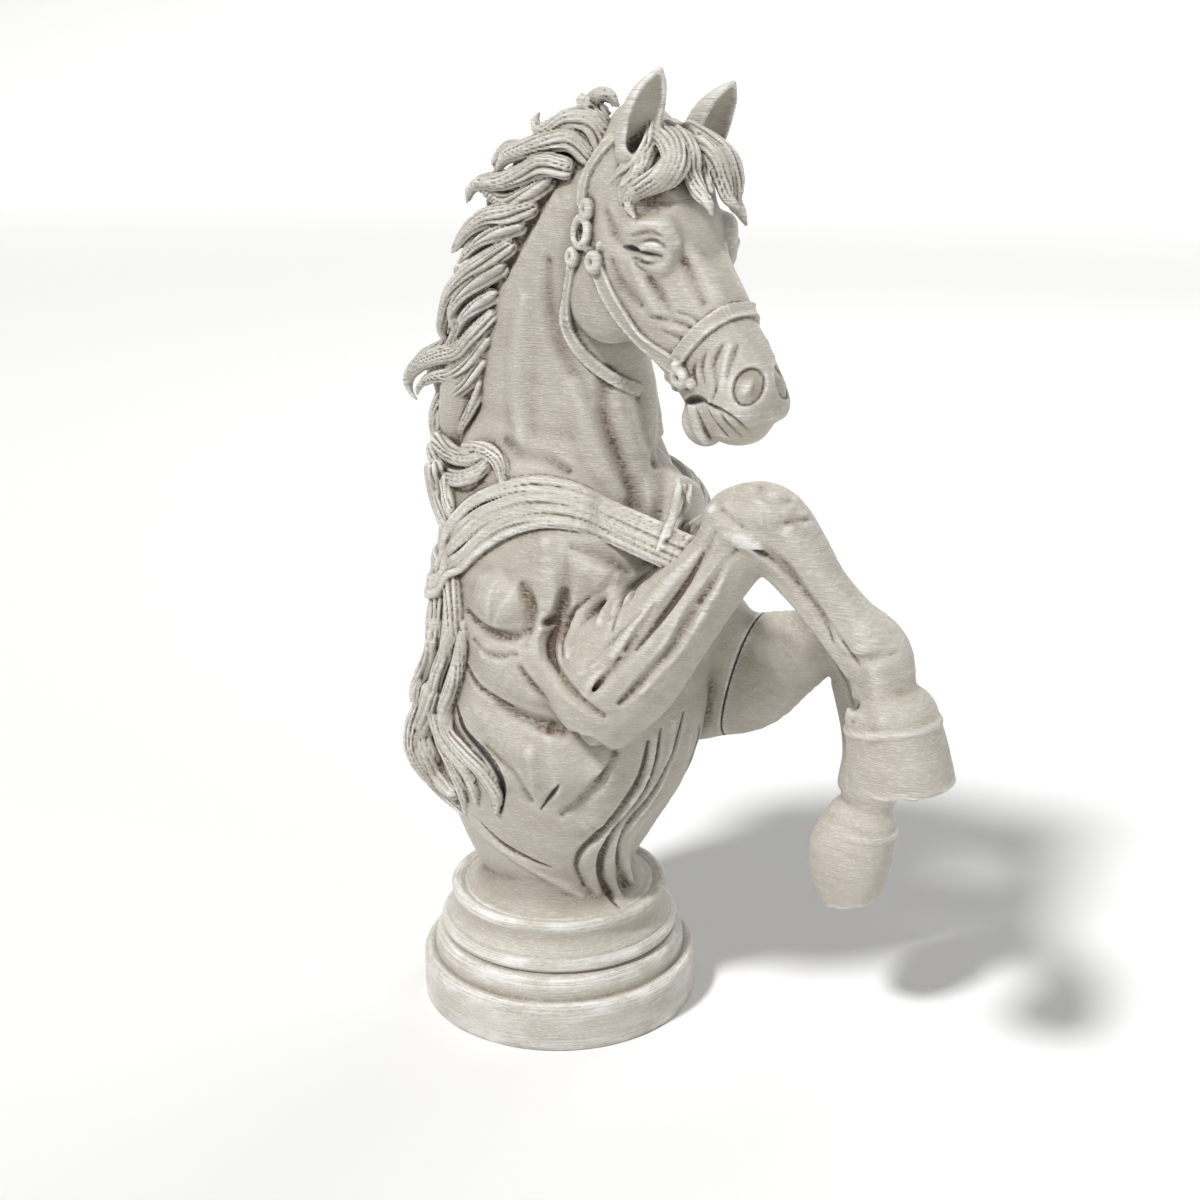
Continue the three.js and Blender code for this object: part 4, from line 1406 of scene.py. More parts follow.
FORELOCK = (
    Lock(((666, 130, -2, 3, 2.6), (680, 139, -3, 3, 2.6), (690, 155, -4, 2.8, 2.4),
            (691, 172, -4, 2.6, 2.2), (698, 190, -4, 2.2, 2), (708, 203, -4, 1.5, 1.5),
            (712, 215, -4, 0.5, 0.6)), 5, False),
    Lock(((656, 132, -5, 3, 3), (671, 144, -6, 3.6, 3), (676, 160, -8, 3.8, 3), (666, 175, -10, 3.8, 2.8),
            (648, 185, -12, 3.2, 2.6), (634, 194, -13, 2.4, 2.2), (629, 206, -14, 1.4, 1.4),
            (634, 217, -14, 0.5, 0.6)), 7, False),
    Lock(((656, 128, -6, 2.6, 2.6), (650, 148, -8, 2.8, 2.4), (638, 162, -11, 2.6, 2.2),
            (622, 174, -12.5, 2, 2), (608, 186, -13, 0.9, 1)), 5, False),
    Lock(((650, 150, -8, 2.2, 2.2), (640, 172, -12, 2.4, 2), (626, 186, -13.5, 2, 1.8),
            (622, 202, -14, 1, 1)), 4, False),
    Lock(((690, 132, 3, 3, 3), (710, 145, 5, 3.4, 3), (727, 160, 6.5, 3.2, 3), (734, 180, 8, 2.8, 2.6),
            (734, 200, 9, 2.2, 2.2), (741, 212, 10, 1.6, 1.6), (746, 224, 10.5, 0.6, 0.7)), 6, False),
    Lock(((700, 145, 1, 2.6, 2.6), (715, 160, 2.5, 2.8, 2.6), (722, 180, 4, 2.6, 2.4),
            (728, 198, 5, 1.8, 1.8), (738, 208, 6, 0.7, 0.8)), 5, False),
    Lock(((672, 130, 2, 3, 3), (692, 140, 2, 2.6, 2.6), (703, 158, 1, 2.2, 2.2), (706, 178, 0, 1.6, 1.6),
            (712, 192, 0, 0.6, 0.7)), 4, False),
)


@dataclass
class HorseBust(Sculpture):
    """Head, neck, chest, right foreleg, mane, bridle and cloth: one print with the socle.

    Its skin is meshed in courses that overlap by a few layers.
    """

    courses: tuple[tuple[str, float, float], ...] = (
        ("chest", 30.0, 113.2),
        ("shoulders", 112.0, 163.2),
        ("neck", 162.0, 209.2),
        ("head", 208.0, 290.0),
    )

    seam: Seam = field(default_factory=Seam)
    strap_width: float = 3.9
    strap_thickness: float = 1.1

    trunk: Rows = (
        (0, 0, -5, 22.8, 22.8),
        (0, 0, 6, 22.4, 22.4),
        (-0.5, 0, 15, 23.4, 25.2),
        (-1.5, 0, 26, 27.5, 30.5),
        (0, 0, 42, 32, 37.5),
        (3, 0, 62, 35, 44),
        (4, 0, 84, 36, 42.5),
        (2, 0, 104, 33.5, 38),
        (2, 0, 120, 29, 36),
        (3, 0, 130, 22, 32),
    )
    neck: Rows = (
        (0, 0, 106, 27, 36),
        (3, 0, 122, 23, 35),
        (6.5, -2, 143, 18, 30),
        (6, -4, 162, 15.5, 28),
        (8, -7, 180, 14.5, 25),
        (15, -11, 197, 13, 21.5),
        (29, -15, 211, 11, 14),
        (41, -18, 220, 9, 9),
    )
    skull: Rows = (
        (-5, 0, 0, 8, 8),
        (3, 0, -3, 12, 13),
        (12, 0, -6, 14, 19),
        (23, 0, -9.5, 14.5, 20.5),
        (33, 0, -9, 13, 18),
        (43, 0, -5.8, 11.6, 16),
        (52, 0, -3.4, 10.2, 14.6),
        (60, 0, -1.4, 9.6, 14.2),
        (67, 0, -0.6, 9.6, 13.4),
        (72.5, 0, -2.0, 7.6, 9.0),
    )
    crest: Rows = (
        (30, -16, 218, 8, 6),
        (15, -14, 218, 8, 7),
        (2, -12, 211, 8, 7.5),
        (-9, -10, 199, 8, 7.5),
        (-17, -8, 184, 8, 7.5),
        (-24, -6, 167, 8, 8),
        (-29, -4, 148, 8.5, 8.5),
        (-31, 0, 128, 9, 8),
        (-35, 0, 112, 7, 5),
    )

    def coarse(self) -> Clay:
        """Makes trunk, neck, skull, muscles and limbs on a coarse grid."""
        clay = Clay.block((-62, -47, 31), (141, 47, 285), self.fine * 3)
        clay.work(Tube(lifted(self.trunk), square=2.1))
        clay.work(Tube(lifted(((0, 0, -6, 29.8, 29.8), (0, 0, -3, 29.8, 29.8), (0, 0, -0.4, 29.8, 29.8))),
            flat=True), 7.0)
        clay.work(Tube(lifted(self.neck)), 5.0)
        for side in Side:
            s = side.value
            for centre, radii, tip, blend in (
                ((21, 20, 111), (20, 13, 22), -15, 5.0),
                ((3, 26, 97), (10.5, 11, 10), 0, 2.5),
                ((16, 27, 83), (21, 11, 12), 30, 3.0),
                ((-14, 22, 84), (16, 12, 20), 0, 5.0),
                ((37, 13, 86), (12, 13, 20), 15, 4.0),
                ((6, 22, 58), (26, 12, 16), 15, 6.0),
            ):
                clay.work(Mass((centre[0], s * centre[1], centre[2] + SOCLE_HEIGHT), radii, (0, tip, 0)),
                    blend)
        clay.work(Mass((35, -30, 83 + SOCLE_HEIGHT), (14, 11.5, 16), (0, 35, 0)), 4.0)
        clay.work(Mass((40, 24, 80 + SOCLE_HEIGHT), (13, 12, 16), (0, 10, 0)), 4.0)
        clay.work(Mass((37.8, 2, 160.9), (8.5, 13, 11)), 5.0)
        RIGHT_LEG.shape(clay)
        LEFT_LEG.shape(clay)
        self.shape_skull(clay)
        clay.work(Tube(lifted(self.crest)), 2.0)
        return clay

    def shape_skull(self, clay: Clay) -> None:
        """Works the skull, jowls, brows and muzzle into the clay."""
        across = HEAD.way([[0, 1, 0]])[0]
        clay.work(Tube(HEAD.rows(self.skull), across, wedge=0.1, square=2.2), 4.0)
        for side in Side:
            s = side.value
            for centre, radii, tips, blend in (
                ((25, 6, -21), (16, 7.5, 18), (0, -25, 0), 3.0),
                ((27, 10.5, 3.5), (8, 4.4, 5), (0, 12, 6), 2.5),
                ((70, 6.5, 4), (6.5, 4.4, 6.5), (0, 35, 0), 2.5),
                ((69, 5.0, -8.4), (7.6, 3.6, 3.6), (0, 20, 0), 2.0),
            ):
                spot = (centre[0], s * centre[1], centre[2])
                clay.work(HeadMass(spot, radii, (tips[0], tips[1], s * tips[2])), blend)
        clay.work(HeadMass((69.5, 0, -14), (6.5, 6, 5.2)), 2.0)

    def carve(self, clay: Clay) -> None:
        """Works face, bridle, hair, cloth and muscles into the fine grid."""
        self.cut_seam(clay)
        body = SWELL_TRACES + NECK_TRACES + TRUNK_TRACES + FOREARM_TRACES + KNEE_TRACES
        for trace in body + FACE_TRACES + EYE_TRACES:
            trace.cut(clay)
        self.carve_nostrils(clay)
        carve_leg(clay, RIGHT_LEG, Side.RIGHT)
        self.lay_bridle(clay)
        for trace in FOLD_TRACES:
            trace.cut(clay)
        self.raise_ears(clay)
        self.lay_crest_hair(clay)
        self.lay_mane(clay)
        self.lay_back_hair(clay)
        self.lay_cloth(clay)
        self.lay_far_fold(clay)
        self.lay_forelock(clay)
        for line in INK_LINES:
            self.ink.append(STAND.landed(clay, line))

    def cut_seam(self, clay: Clay) -> None:
        """Clears the room of the foreleg that is glued on."""
        limb = [tube for tube, _ in LEFT_LEG.tubes()]

        def outside_room(at: np.ndarray) -> np.ndarray:
            """Returns a distance that is negative where the bust's clay stays."""
            near = np.full(len(at), 9.0, dtype=np.float32)
            for tube in limb:
                for _, _, measure in tube.parts(0.0):
                    np.minimum(near, measure(at), out=near)
            return -np.maximum(near - 2.2, -self.seam.beyond(at) - self.seam.gap)

        clay.trim(outside_room, (44, 6, 40), (112, 47, 140))

    def carve_nostrils(self, clay: Clay) -> None:
        """Cuts the nostrils and raises their rims."""
        turn = np.linspace(0, 2 * math.pi, 15)
        for spread, size, rise, blend, how in (
            (0.70, 3.2, 2.1, 1.2, Work.CARVE),
            (1.06, 0.7, -0.3, 0.9, Work.ADD),
            (0.90, 0.45, 0.0, 0.2, Work.CARVE),
        ):
            ring = np.column_stack([749 + 16.8 * spread * np.cos(turn + 0.2),
                387 + 20.0 * spread * np.sin(turn), np.full(15, size)])
            near = STAND.landed(clay, ring)
            for rows in (near, other_side(clay, near, Region.HEAD)):
                stroke(clay, rows, blend, how, rise)

    def band(self, clay: Clay, rows: np.ndarray, beads: bool = True, width: Optional[float] = None) -> None:
        """Lays a strap along landed points."""
        out = clay.slope(rows[:, :3], 1.6)
        clay.work(Band(np.hstack([rows[:, :3], out]), width or self.strap_width, self.strap_thickness,
            beads), 0.2)

    @staticmethod
    def settled(clay: Clay, rows: np.ndarray) -> np.ndarray:
        """Moves rows along the clay's slope until they lie on its skin."""
        rows = rows.copy()
        for _ in range(4):
            out = clay.slope(rows[:, :3], 1.5)
            rows[:, :3] -= out * clay.sample(rows[:, :3])[:, None]
        return rows

    def loop(self, clay: Clay, start: Point, end: Point, first: float, last: float) -> np.ndarray:
        """Lands points on the head along a plane square to its side view.

        Args:
            clay: The clay to land on.
            start: Where the plane meets the front of the face in the side view.
            end: Where it meets the back.
            first: The first turn, in degrees: 0 is the front, 90 the left side.
            last: The last turn.

        Returns:
            The landed points.
        """
        a, b = np.asarray(start, dtype=float), np.asarray(end, dtype=float)
        middle, way = (a + b) / 2, unit(a - b)
        turns = np.radians(np.linspace(first, last, 26))
        outward = np.stack([way[0] * np.cos(turns), np.sin(turns), way[1] * np.cos(turns)], axis=1)
        starts = np.array([middle[0], 0, middle[1]]) + outward * 30
        return clay.land(HEAD.point(starts), HEAD.way(-outward))

    def lay_bridle(self, clay: Clay) -> None:
        """Lays the noseband, cheek straps, crown strap, throat latch, rings and buckles."""
        bare = Clay(clay.low, clay.step, clay.values.copy())
        straps = (
            (((583, 206), (584, 188), (591, 168), (603, 150), (614, 138)), 3.4, 0),
            (((598, 268), (608, 292), (622, 316), (640, 338), (660, 355), (682, 370)), 5.0, 0),
            (((573, 266), (568, 296), (567, 324), (577, 347), (595, 366), (618, 381), (640, 390)), 3.4, 3),
        )
        nose = self.loop(bare, (48.4, 15.5), (60, -24), 0, 360)
        self.band(clay, nose)
        for points, width, left_out in straps:
            near = STAND.landed(bare, points)
            self.band(clay, near, True, width)
            far = self.settled(bare, other_side(bare, near, Region.HEAD))
            self.band(clay, far[: len(far) - left_out], True, width)
        rings = (
            ((585, 232), 3.5, 1.25),
            ((576, 257), 1.5, 1.3),
            ((597, 262), 1.7, 1.4),
            ((683, 376), 1.8, 1.4),
            ((590, 209), 1.6, 1.3),
        )
        for spot, size, wire in rings:
            near = STAND.landed(bare, (spot,))
            for rows in (near, other_side(bare, near, Region.HEAD)):
                out = bare.slope(rows[:, :3], 2.0)[0]
                middle = rows[0, :3] + out * 1.1
                one = unit(np.cross(out, [0.0, 0.0, 1.0])[None])[0]
                two = np.cross(one, out)
                ring = [
                    [*(middle + (one * math.cos(a) + two * math.sin(a)) * size), wire, wire]
                    for a in np.linspace(0, 2 * math.pi, 13)
                ]
                clay.work(Mass(middle + out * 0.6, (size * 0.75,) * 3), 0.3, Work.CARVE)
                clay.work(Tube(ring, out, steps=2), 0.3)
        for spot, size in (((600, 246), 1.2), ((588, 248), 1.3), ((692, 384), 1.6), ((676, 366), 1.4)):
            near = STAND.landed(clay, (spot,))
            for rows in (near, other_side(clay, near, Region.HEAD)):
                clay.work(Mass(rows[0, :3], (size,) * 3), 0.6)

    def lay_cloth(self, clay: Clay) -> None:
        """Lays the gathered band of cloth that crosses the shoulders and meets at the breast."""
        upper = np.array([(444, 558), (449, 530), (462, 510), (480, 496), (505, 487), (532, 483),
            (560, 486), (585, 494), (610, 506), (636, 526), (657, 543)], dtype=float)
        lower = np.array([(442, 592), (450, 578), (463, 570), (480, 552), (500, 537), (522, 528),
            (547, 524), (578, 528), (608, 540), (638, 556), (658, 564)], dtype=float)
        bare = Clay(clay.low, clay.step, clay.values.copy())
        folds = [(share, 1.75 - 0.45 * (k % 2), 0.1 + 0.5 * (k % 2), 0.35) for k,
            share in enumerate(np.linspace(0.0, 1.0, 8))]
        for share, radius, rise, blend in folds:
            wave = 1.6 * np.sin(np.arange(len(upper)) * 0.8 + share * 17)
            spots = upper + (lower - upper) * share
            spots[:, 1] += wave
            near = STAND.landed(bare, np.column_stack([spots, np.full(len(spots), radius)]))
            turn = np.degrees(np.arctan2(near[:, 1], near[:, 0]))
            height = near[:, 2] - SOCLE_HEIGHT
            turn = np.where(turn > 90, turn - 360, turn)
            back = [(t, height[0] - 2, radius) for t in np.linspace(-181, max(turn[0] - 5, -179), 5)]
            rows = np.vstack([back, np.column_stack([turn, height, near[:, 3]])])
            for side in Side:
                landed = from_round(bare, np.column_stack([rows[:, 0] * -side.value, rows[:, 1:]]))
                out = bare.slope(landed[:, :3], 2.5)
                middle = landed[:, :3] + out * rise
                tube = Tube(np.hstack([middle, landed[:, 3:4], landed[:, 3:4]]), (0.2, 0.1, 1.0), steps=3,
                    flutes=6, flute_depth=0.6)
                clay.work(tube, blend)

    def lay_far_fold(self, clay: Clay) -> None:
        """Lays the far end of the cloth, where it climbs the breast beside the near knee."""
        folds = (
            ((658, 552), (668, 530), (679, 503), (684, 486)),
            ((664, 548), (676, 524), (686, 503), (690, 486)),
            ((668, 536), (674, 512), (678, 490), (678, 480)),
        )
        for number, points in enumerate(folds):
            radius = np.interp(np.linspace(0, 1, len(points)), [0, 0.4, 1], [0.6, 1.35, 0.5])
            rows = STAND.landed(clay, np.column_stack([np.array(points, dtype=float), radius]))
            stroke(clay, rows, 0.5 + 0.1 * number, Work.ADD, 0.3)

    def lay_crest_hair(self, clay: Clay) -> None:
        """Lays plainer locks along the back of the crest and down its far side."""
        crest = lifted(self.crest)
        count = np.arange(len(crest))
        share = np.linspace(0, 1, 6)
        radius = 3.0 * np.array([0.75, 1.0, 1.05, 0.9, 0.62, 0.22])
        for number, first in enumerate(np.linspace(0.7, 6.3, 18)):
            spread = (3.0, 9.0, 15.0)[number % 3]
            t = first + share * (1.3 + 0.25 * math.sin(number * 2.1))
            spots = np.column_stack([np.interp(t, count, crest[:, i]) for i in range(3)])
            spots[:, 1] += spread * np.sin(share * 1.8) + 1.5 * np.sin(5 * share + number)
            outward = unit(np.column_stack([np.full(6, -1.0), 0.15 + 0.055 * spread * share,
                np.full(6, 0.35)]))
            landed = clay.land(spots + outward * 26, -outward) + outward * 0.6
            tube = Tube(np.column_stack([landed, radius, radius]), (0.0, 0.3, 1.0), steps=5, flutes=8,
                flute_depth=1.0, twist=0.3)
            clay.work(tube, 0.3)

    def lay_mane(self, clay: Clay) -> None:
        """Lays the locks that leave the crest, sweep back and curl."""
        for lock in MANE:
            near = STAND.on_crest(lock.stations)
            near[:, 3:5] *= 0.88
            sides = [near]
            if lock.far:
                far = near.copy()
                lean = np.array([crest_lean(z - SOCLE_HEIGHT) for z in near[:, 2]])
                far[:, 1] = 2 * lean - near[:, 1]
                root = far[0].copy()
                far[:, 0] = root[0] + (far[:, 0] - root[0]) * 0.86
                far[:, 2] = root[2] + (far[:, 2] - root[2]) * 0.86 - 2.5
                sides.append(far)
            for rows in sides:
                tube = Tube(rows, (0.0, 0.15, 1.0), steps=5, flutes=max(lock.strands - 1, 4) * 2,
                    flute_depth=1.1, twist=0.3)
                clay.work(tube, 0.3)

    def lay_back_hair(self, clay: Clay) -> None:
        """Lays the hair that gathers over the shoulder and runs down the back."""
        bare = Clay(clay.low, clay.step, clay.values.copy())
        for lock in KNOT + BACK_HAIR:
            stations = np.asarray(lock.stations, dtype=float)
            near = STAND.landed(bare, stations, 0.0)
            for rows in (near, other_side(bare, near, Region.TRUNK)):
                out = bare.slope(rows[:, :3], 2.0)
                middle = rows[:, :3] + out * (rows[:, 5:6] * 0.25 + rows[:, 3:4] * 0.08)
                tube = Tube(np.hstack([middle, rows[:, 4:6]]), (0.3, 0.2, 0.6), steps=5,
                    flutes=max(lock.strands - 1, 4) * 2, flute_depth=1.0, twist=0.3)
                clay.work(tube, 0.3)

    def raise_ears(self, clay: Clay) -> None:
        """Raises both ears and hollows them."""
        right = STAND.axes()[0]
        toward = -STAND.axes()[2]
        ears = (
            (
                -9.5,
                ((634, 152, 4.8, 4.4), (638, 128, 5.4, 4.2), (646, 103, 4.9, 3.6), (654, 85, 3.3, 2.6),
                (660, 70, 0.9, 1.0)),
                ((637, 146, 2.8, 3.4), (645, 125, 3.9, 3.5), (652, 103, 3.6, 3.3), (657.5, 84, 1.8, 2.0)),
                2.4,
            ),
            (
                13.0,
                ((700, 150, 5.2, 4.4), (706, 130, 5.8, 4.2), (714, 113, 5.2, 3.6), (724, 98, 3.6, 2.6),
                (733, 84, 1.0, 1.0)),
                ((712, 146, 2.8, 3.0), (718, 128, 3.6, 3.0), (725, 110, 3.0, 2.6), (732, 94, 1.4, 1.4)),
                0.8,
            ),
        )
        for aside, shell, hollow, ahead in ears:
            clay.work(Tube(STAND.on_plane(shell, HEAD, aside), right, steps=5), 1.0)
            cut = STAND.on_plane(hollow, HEAD, aside)
            cut[:, :3] += toward * ahead
            clay.work(Tube(cut, right, steps=5), 0.4, Work.CARVE)

    def lay_forelock(self, clay: Clay) -> None:
        """Lays the locks that fall between the ears over the brow."""
        for lock in FORELOCK:
            stations = np.asarray(lock.stations, dtype=float)
            rows = np.vstack([STAND.on_plane(row[None, [0, 1, 3, 4]], HEAD, row[2]) for row in stations])
            tube = Tube(rows, STAND.axes()[0], steps=5, flutes=max(lock.strands - 1, 4) * 2,
                flute_depth=1.0, twist=0.3)
            clay.work(tube, 0.3)


@dataclass
class HeadMass(Mass):
    """A mass that is given in the head's frame."""

    def axes(self) -> np.ndarray:
        """Returns the mass's own three axes in the row frame, one to a row."""
        return super().axes() @ HEAD.matrix().T

    def box(self, margin: float) -> tuple[np.ndarray, np.ndarray]:
        """Returns the lowest and highest corner of the mass, with a margin."""
        middle = HEAD.point([self.centre])[0]
        reach = np.sqrt(((self.axes() * np.asarray(self.radii)[:, None]) ** 2).sum(axis=0)) + margin
        return middle - reach, middle + reach

    def distance(self, at: np.ndarray) -> np.ndarray:
        """Measures how far points are from the mass, negative inside."""
        local = (at - HEAD.point([self.centre])[0].astype(np.float32)) @ self.axes().astype(np.float32).T
        q = local / np.asarray(self.radii, dtype=np.float32)
        ratio = np.sqrt((q * q).sum(axis=1))
        slope = np.sqrt(((q / np.asarray(self.radii, dtype=np.float32)) ** 2).sum(axis=1))
        return (ratio - 1) * np.maximum(ratio, 0.05) / np.maximum(slope, 0.01)


# Socle


@dataclass
class Socle:
    """The turned foot: its profile from the floor up, in millimetres."""

    finish: bpy.types.Material

    band: float = 43.0
    band_height: float = 15.0
    rounding: float = 2.5
    ogee_height: float = 7.0
    ogee_step: float = 3.6
    torus_height: float = 5.0
    torus_step: float = 3.4
    cove_height: float = 8.0
    cove_step: float = 2.2
    rim_height: float = 2.0
    foot: float = 24.5
    sides: int = 160

    def profile(self) -> list[tuple[float, float]]:
        """Returns radius and height of the profile's points, from the floor's middle to the top's."""
        ogee = self.band - self.ogee_step
        torus = ogee - self.torus_step
        rim = torus - self.cove_step
        ogee_top = self.band_height + self.ogee_height
        torus_top = ogee_top + self.torus_height
        cove_top = torus_top + self.cove_height
        top = cove_top + self.rim_height
        points = [(0.0, 0.0), (self.band - 0.6, 0.0), (self.band, 0.6),
            (self.band, self.band_height * 0.45)]
        points += self.bend((self.band, self.band_height - self.rounding), (self.band, self.band_height),
            (self.band - self.rounding, self.band_height), 6)
        points += [(ogee + 0.4, self.band_height - 0.15), (ogee, self.band_height + 0.35)]
        points += self.bend((ogee, self.band_height + 1.1), (ogee, ogee_top), (torus + 0.3, ogee_top), 8)
        points += [(torus - 0.3, ogee_top + 0.1)]
        points += self.bend((torus, ogee_top + 0.4),
            (torus + self.torus_step * 0.7, ogee_top + self.torus_height / 2), (torus, torus_top - 0.3), 9)
        points += [(torus - 0.6, torus_top)]
        points += self.bend((torus - 0.5, torus_top + 0.3),
            (torus - self.cove_step * 2, torus_top + self.cove_height / 2), (rim, cove_top), 8)
        points += [(rim, cove_top + self.rim_height * 0.6), (rim - 0.6, top - 0.15),
            (rim - self.rim_height, top)]
        points += self.bend((rim - self.rim_height - 0.5, top - 0.1), (self.foot + 3, top - 2.2),
            (self.foot - 1, top - 1.2), 6)
        points += [(0.0, top - 1.2)]
        return points

    @staticmethod
    def bend(a: Point, b: Point, c: Point, count: int) -> list[tuple[float, float]]:
        """Returns points of a curve from a to c that leans towards b."""
        out = []
        for t in np.linspace(0, 1, count):
            spot = (1 - t) ** 2 * np.array(a) + 2 * t * (1 - t) * np.array(b) + t * t * np.array(c)
            out.append(tuple(spot))
        return out

    def tree(self) -> bpy.types.GeometryNodeTree:
        """Builds the node tree that sweeps a profile round the upright axis.

        Returns:
            The tree, with the radius and the number of sides as named inputs.
        """
        tree = bpy.data.node_groups.new("turned_socle", "GeometryNodeTree")
        sockets = tree.interface
        sockets.new_socket("Profile", in_out="INPUT", socket_type="NodeSocketGeometry")
        sockets.new_socket("Radius", in_out="INPUT", socket_type="NodeSocketFloat")
        sockets.new_socket("Sides", in_out="INPUT", socket_type="NodeSocketInt")
        sockets.new_socket("Turned", in_out="OUTPUT", socket_type="NodeSocketGeometry")
        nodes, link = tree.nodes, tree.links.new
        given, made = nodes.new("NodeGroupInput"), nodes.new("NodeGroupOutput")
        curve = nodes.new("GeometryNodeMeshToCurve")
        circle = nodes.new("GeometryNodeCurvePrimitiveCircle")
        sweep = nodes.new("GeometryNodeCurveToMesh")
        merge = nodes.new("GeometryNodeMergeByDistance")
        merge.inputs["Distance"].default_value = 2e-6
        flip = nodes.new("GeometryNodeFlipFaces")
        real = nodes.new("GeometryNodeRealizeInstances")
        paint = nodes.new("GeometryNodeSetMaterial")
        paint.inputs["Material"].default_value = self.finish
        link(given.outputs["Profile"], curve.inputs["Mesh"])
        link(given.outputs["Radius"], circle.inputs["Radius"])
        link(given.outputs["Sides"], circle.inputs["Resolution"])
        link(circle.outputs["Curve"], sweep.inputs["Curve"])
        link(curve.outputs["Curve"], sweep.inputs["Profile Curve"])
        link(sweep.outputs["Mesh"], merge.inputs["Geometry"])
        link(merge.outputs["Geometry"], flip.inputs["Mesh"])
        link(flip.outputs["Mesh"], real.inputs["Geometry"])
        link(real.outputs["Geometry"], paint.inputs["Geometry"])
        link(paint.outputs["Geometry"], made.inputs["Turned"])
        return tree

    def build(self) -> bpy.types.Object:
        """Turns the profile and makes its mesh object."""
        mesh = bpy.data.meshes.new("socle_profile")
        points = [((radius - self.band) * MM, -height * MM, 0.0) for radius, height in self.profile()]
        mesh.from_pydata(points, [(i, i + 1) for i in range(len(points) - 1)], [])
        draft = bpy.data.objects.new("socle", mesh)
        bpy.context.scene.collection.objects.link(draft)
        tree = self.tree()
        modifier = draft.modifiers.new("turn", "NODES")
        modifier.node_group = tree
        for item in tree.interface.items_tree:
            if item.name == "Radius":
                modifier[item.identifier] = self.band * MM
            if item.name == "Sides":
                modifier[item.identifier] = self.sides
        draft.update_tag()
        graph = bpy.context.evaluated_depsgraph_get()
        turned = bpy.data.meshes.new_from_object(draft.evaluated_get(graph))
        draft.modifiers.clear()
        draft.data = turned
        turned.name = "socle"
        at = np.empty(len(turned.vertices) * 3)
        turned.vertices.foreach_get("co", at)
        at = at.reshape(-1, 3)
        self.read_hollows(turned, at / MM)
        turned.shade_smooth()
        logger.info("socle: %d faces, %s to %s", len(turned.polygons), at.min(axis=0), at.max(axis=0))
        return draft

    def read_hollows(self, mesh: bpy.types.Mesh, at: np.ndarray) -> None:
        """Writes how hollow the turned profile is, as the sculpted pieces have it.

        Args:
            mesh: The turned mesh.
            at: Its points in millimetres.
        """
        line = np.array(self.profile())
        steps = np.cumsum(np.r_[0, np.linalg.norm(np.diff(line, axis=0), axis=1)])
        even = np.arange(0, steps[-1], 0.25)
        line = np.column_stack([np.interp(even, steps, line[:, k]) for k in (0, 1)])
        hollow = np.zeros(len(line))
        for reach, share in ((4, 0.6), (10, 0.4)):
            bend = np.zeros(len(line))
            way = line[2 * reach :] - line[: -2 * reach]
            chord = (line[2 * reach :] + line[: -2 * reach]) / 2 - line[reach:-reach]
            bend[reach:-reach] = (chord[:, 0] * way[:, 1] - chord[:, 1] * way[:,
                0]) / np.maximum(np.linalg.norm(way, axis=1), 0.1)
            hollow += share * bend
        radius = np.hypot(at[:, 0], at[:, 1])
        nearest = np.array([np.argmin((line[:, 0] - r) ** 2 + (line[:, 1] - z) ** 2) for r,
            z in zip(radius, at[:, 2])])
        write_attribute(mesh, "hollow", np.clip(hollow[nearest] * 0.45 - 0.2, -0.45, 0.14))
        write_attribute(mesh, "crisp", np.clip(hollow[nearest] * 0.12 - 0.03, -0.1, 0.09))
        write_attribute(mesh, "deep", np.zeros(len(at)))
        write_attribute(mesh, "ink", np.zeros(len(at)))


# Finish


Socket = bpy.types.NodeSocket
Colour = tuple[float, float, float]


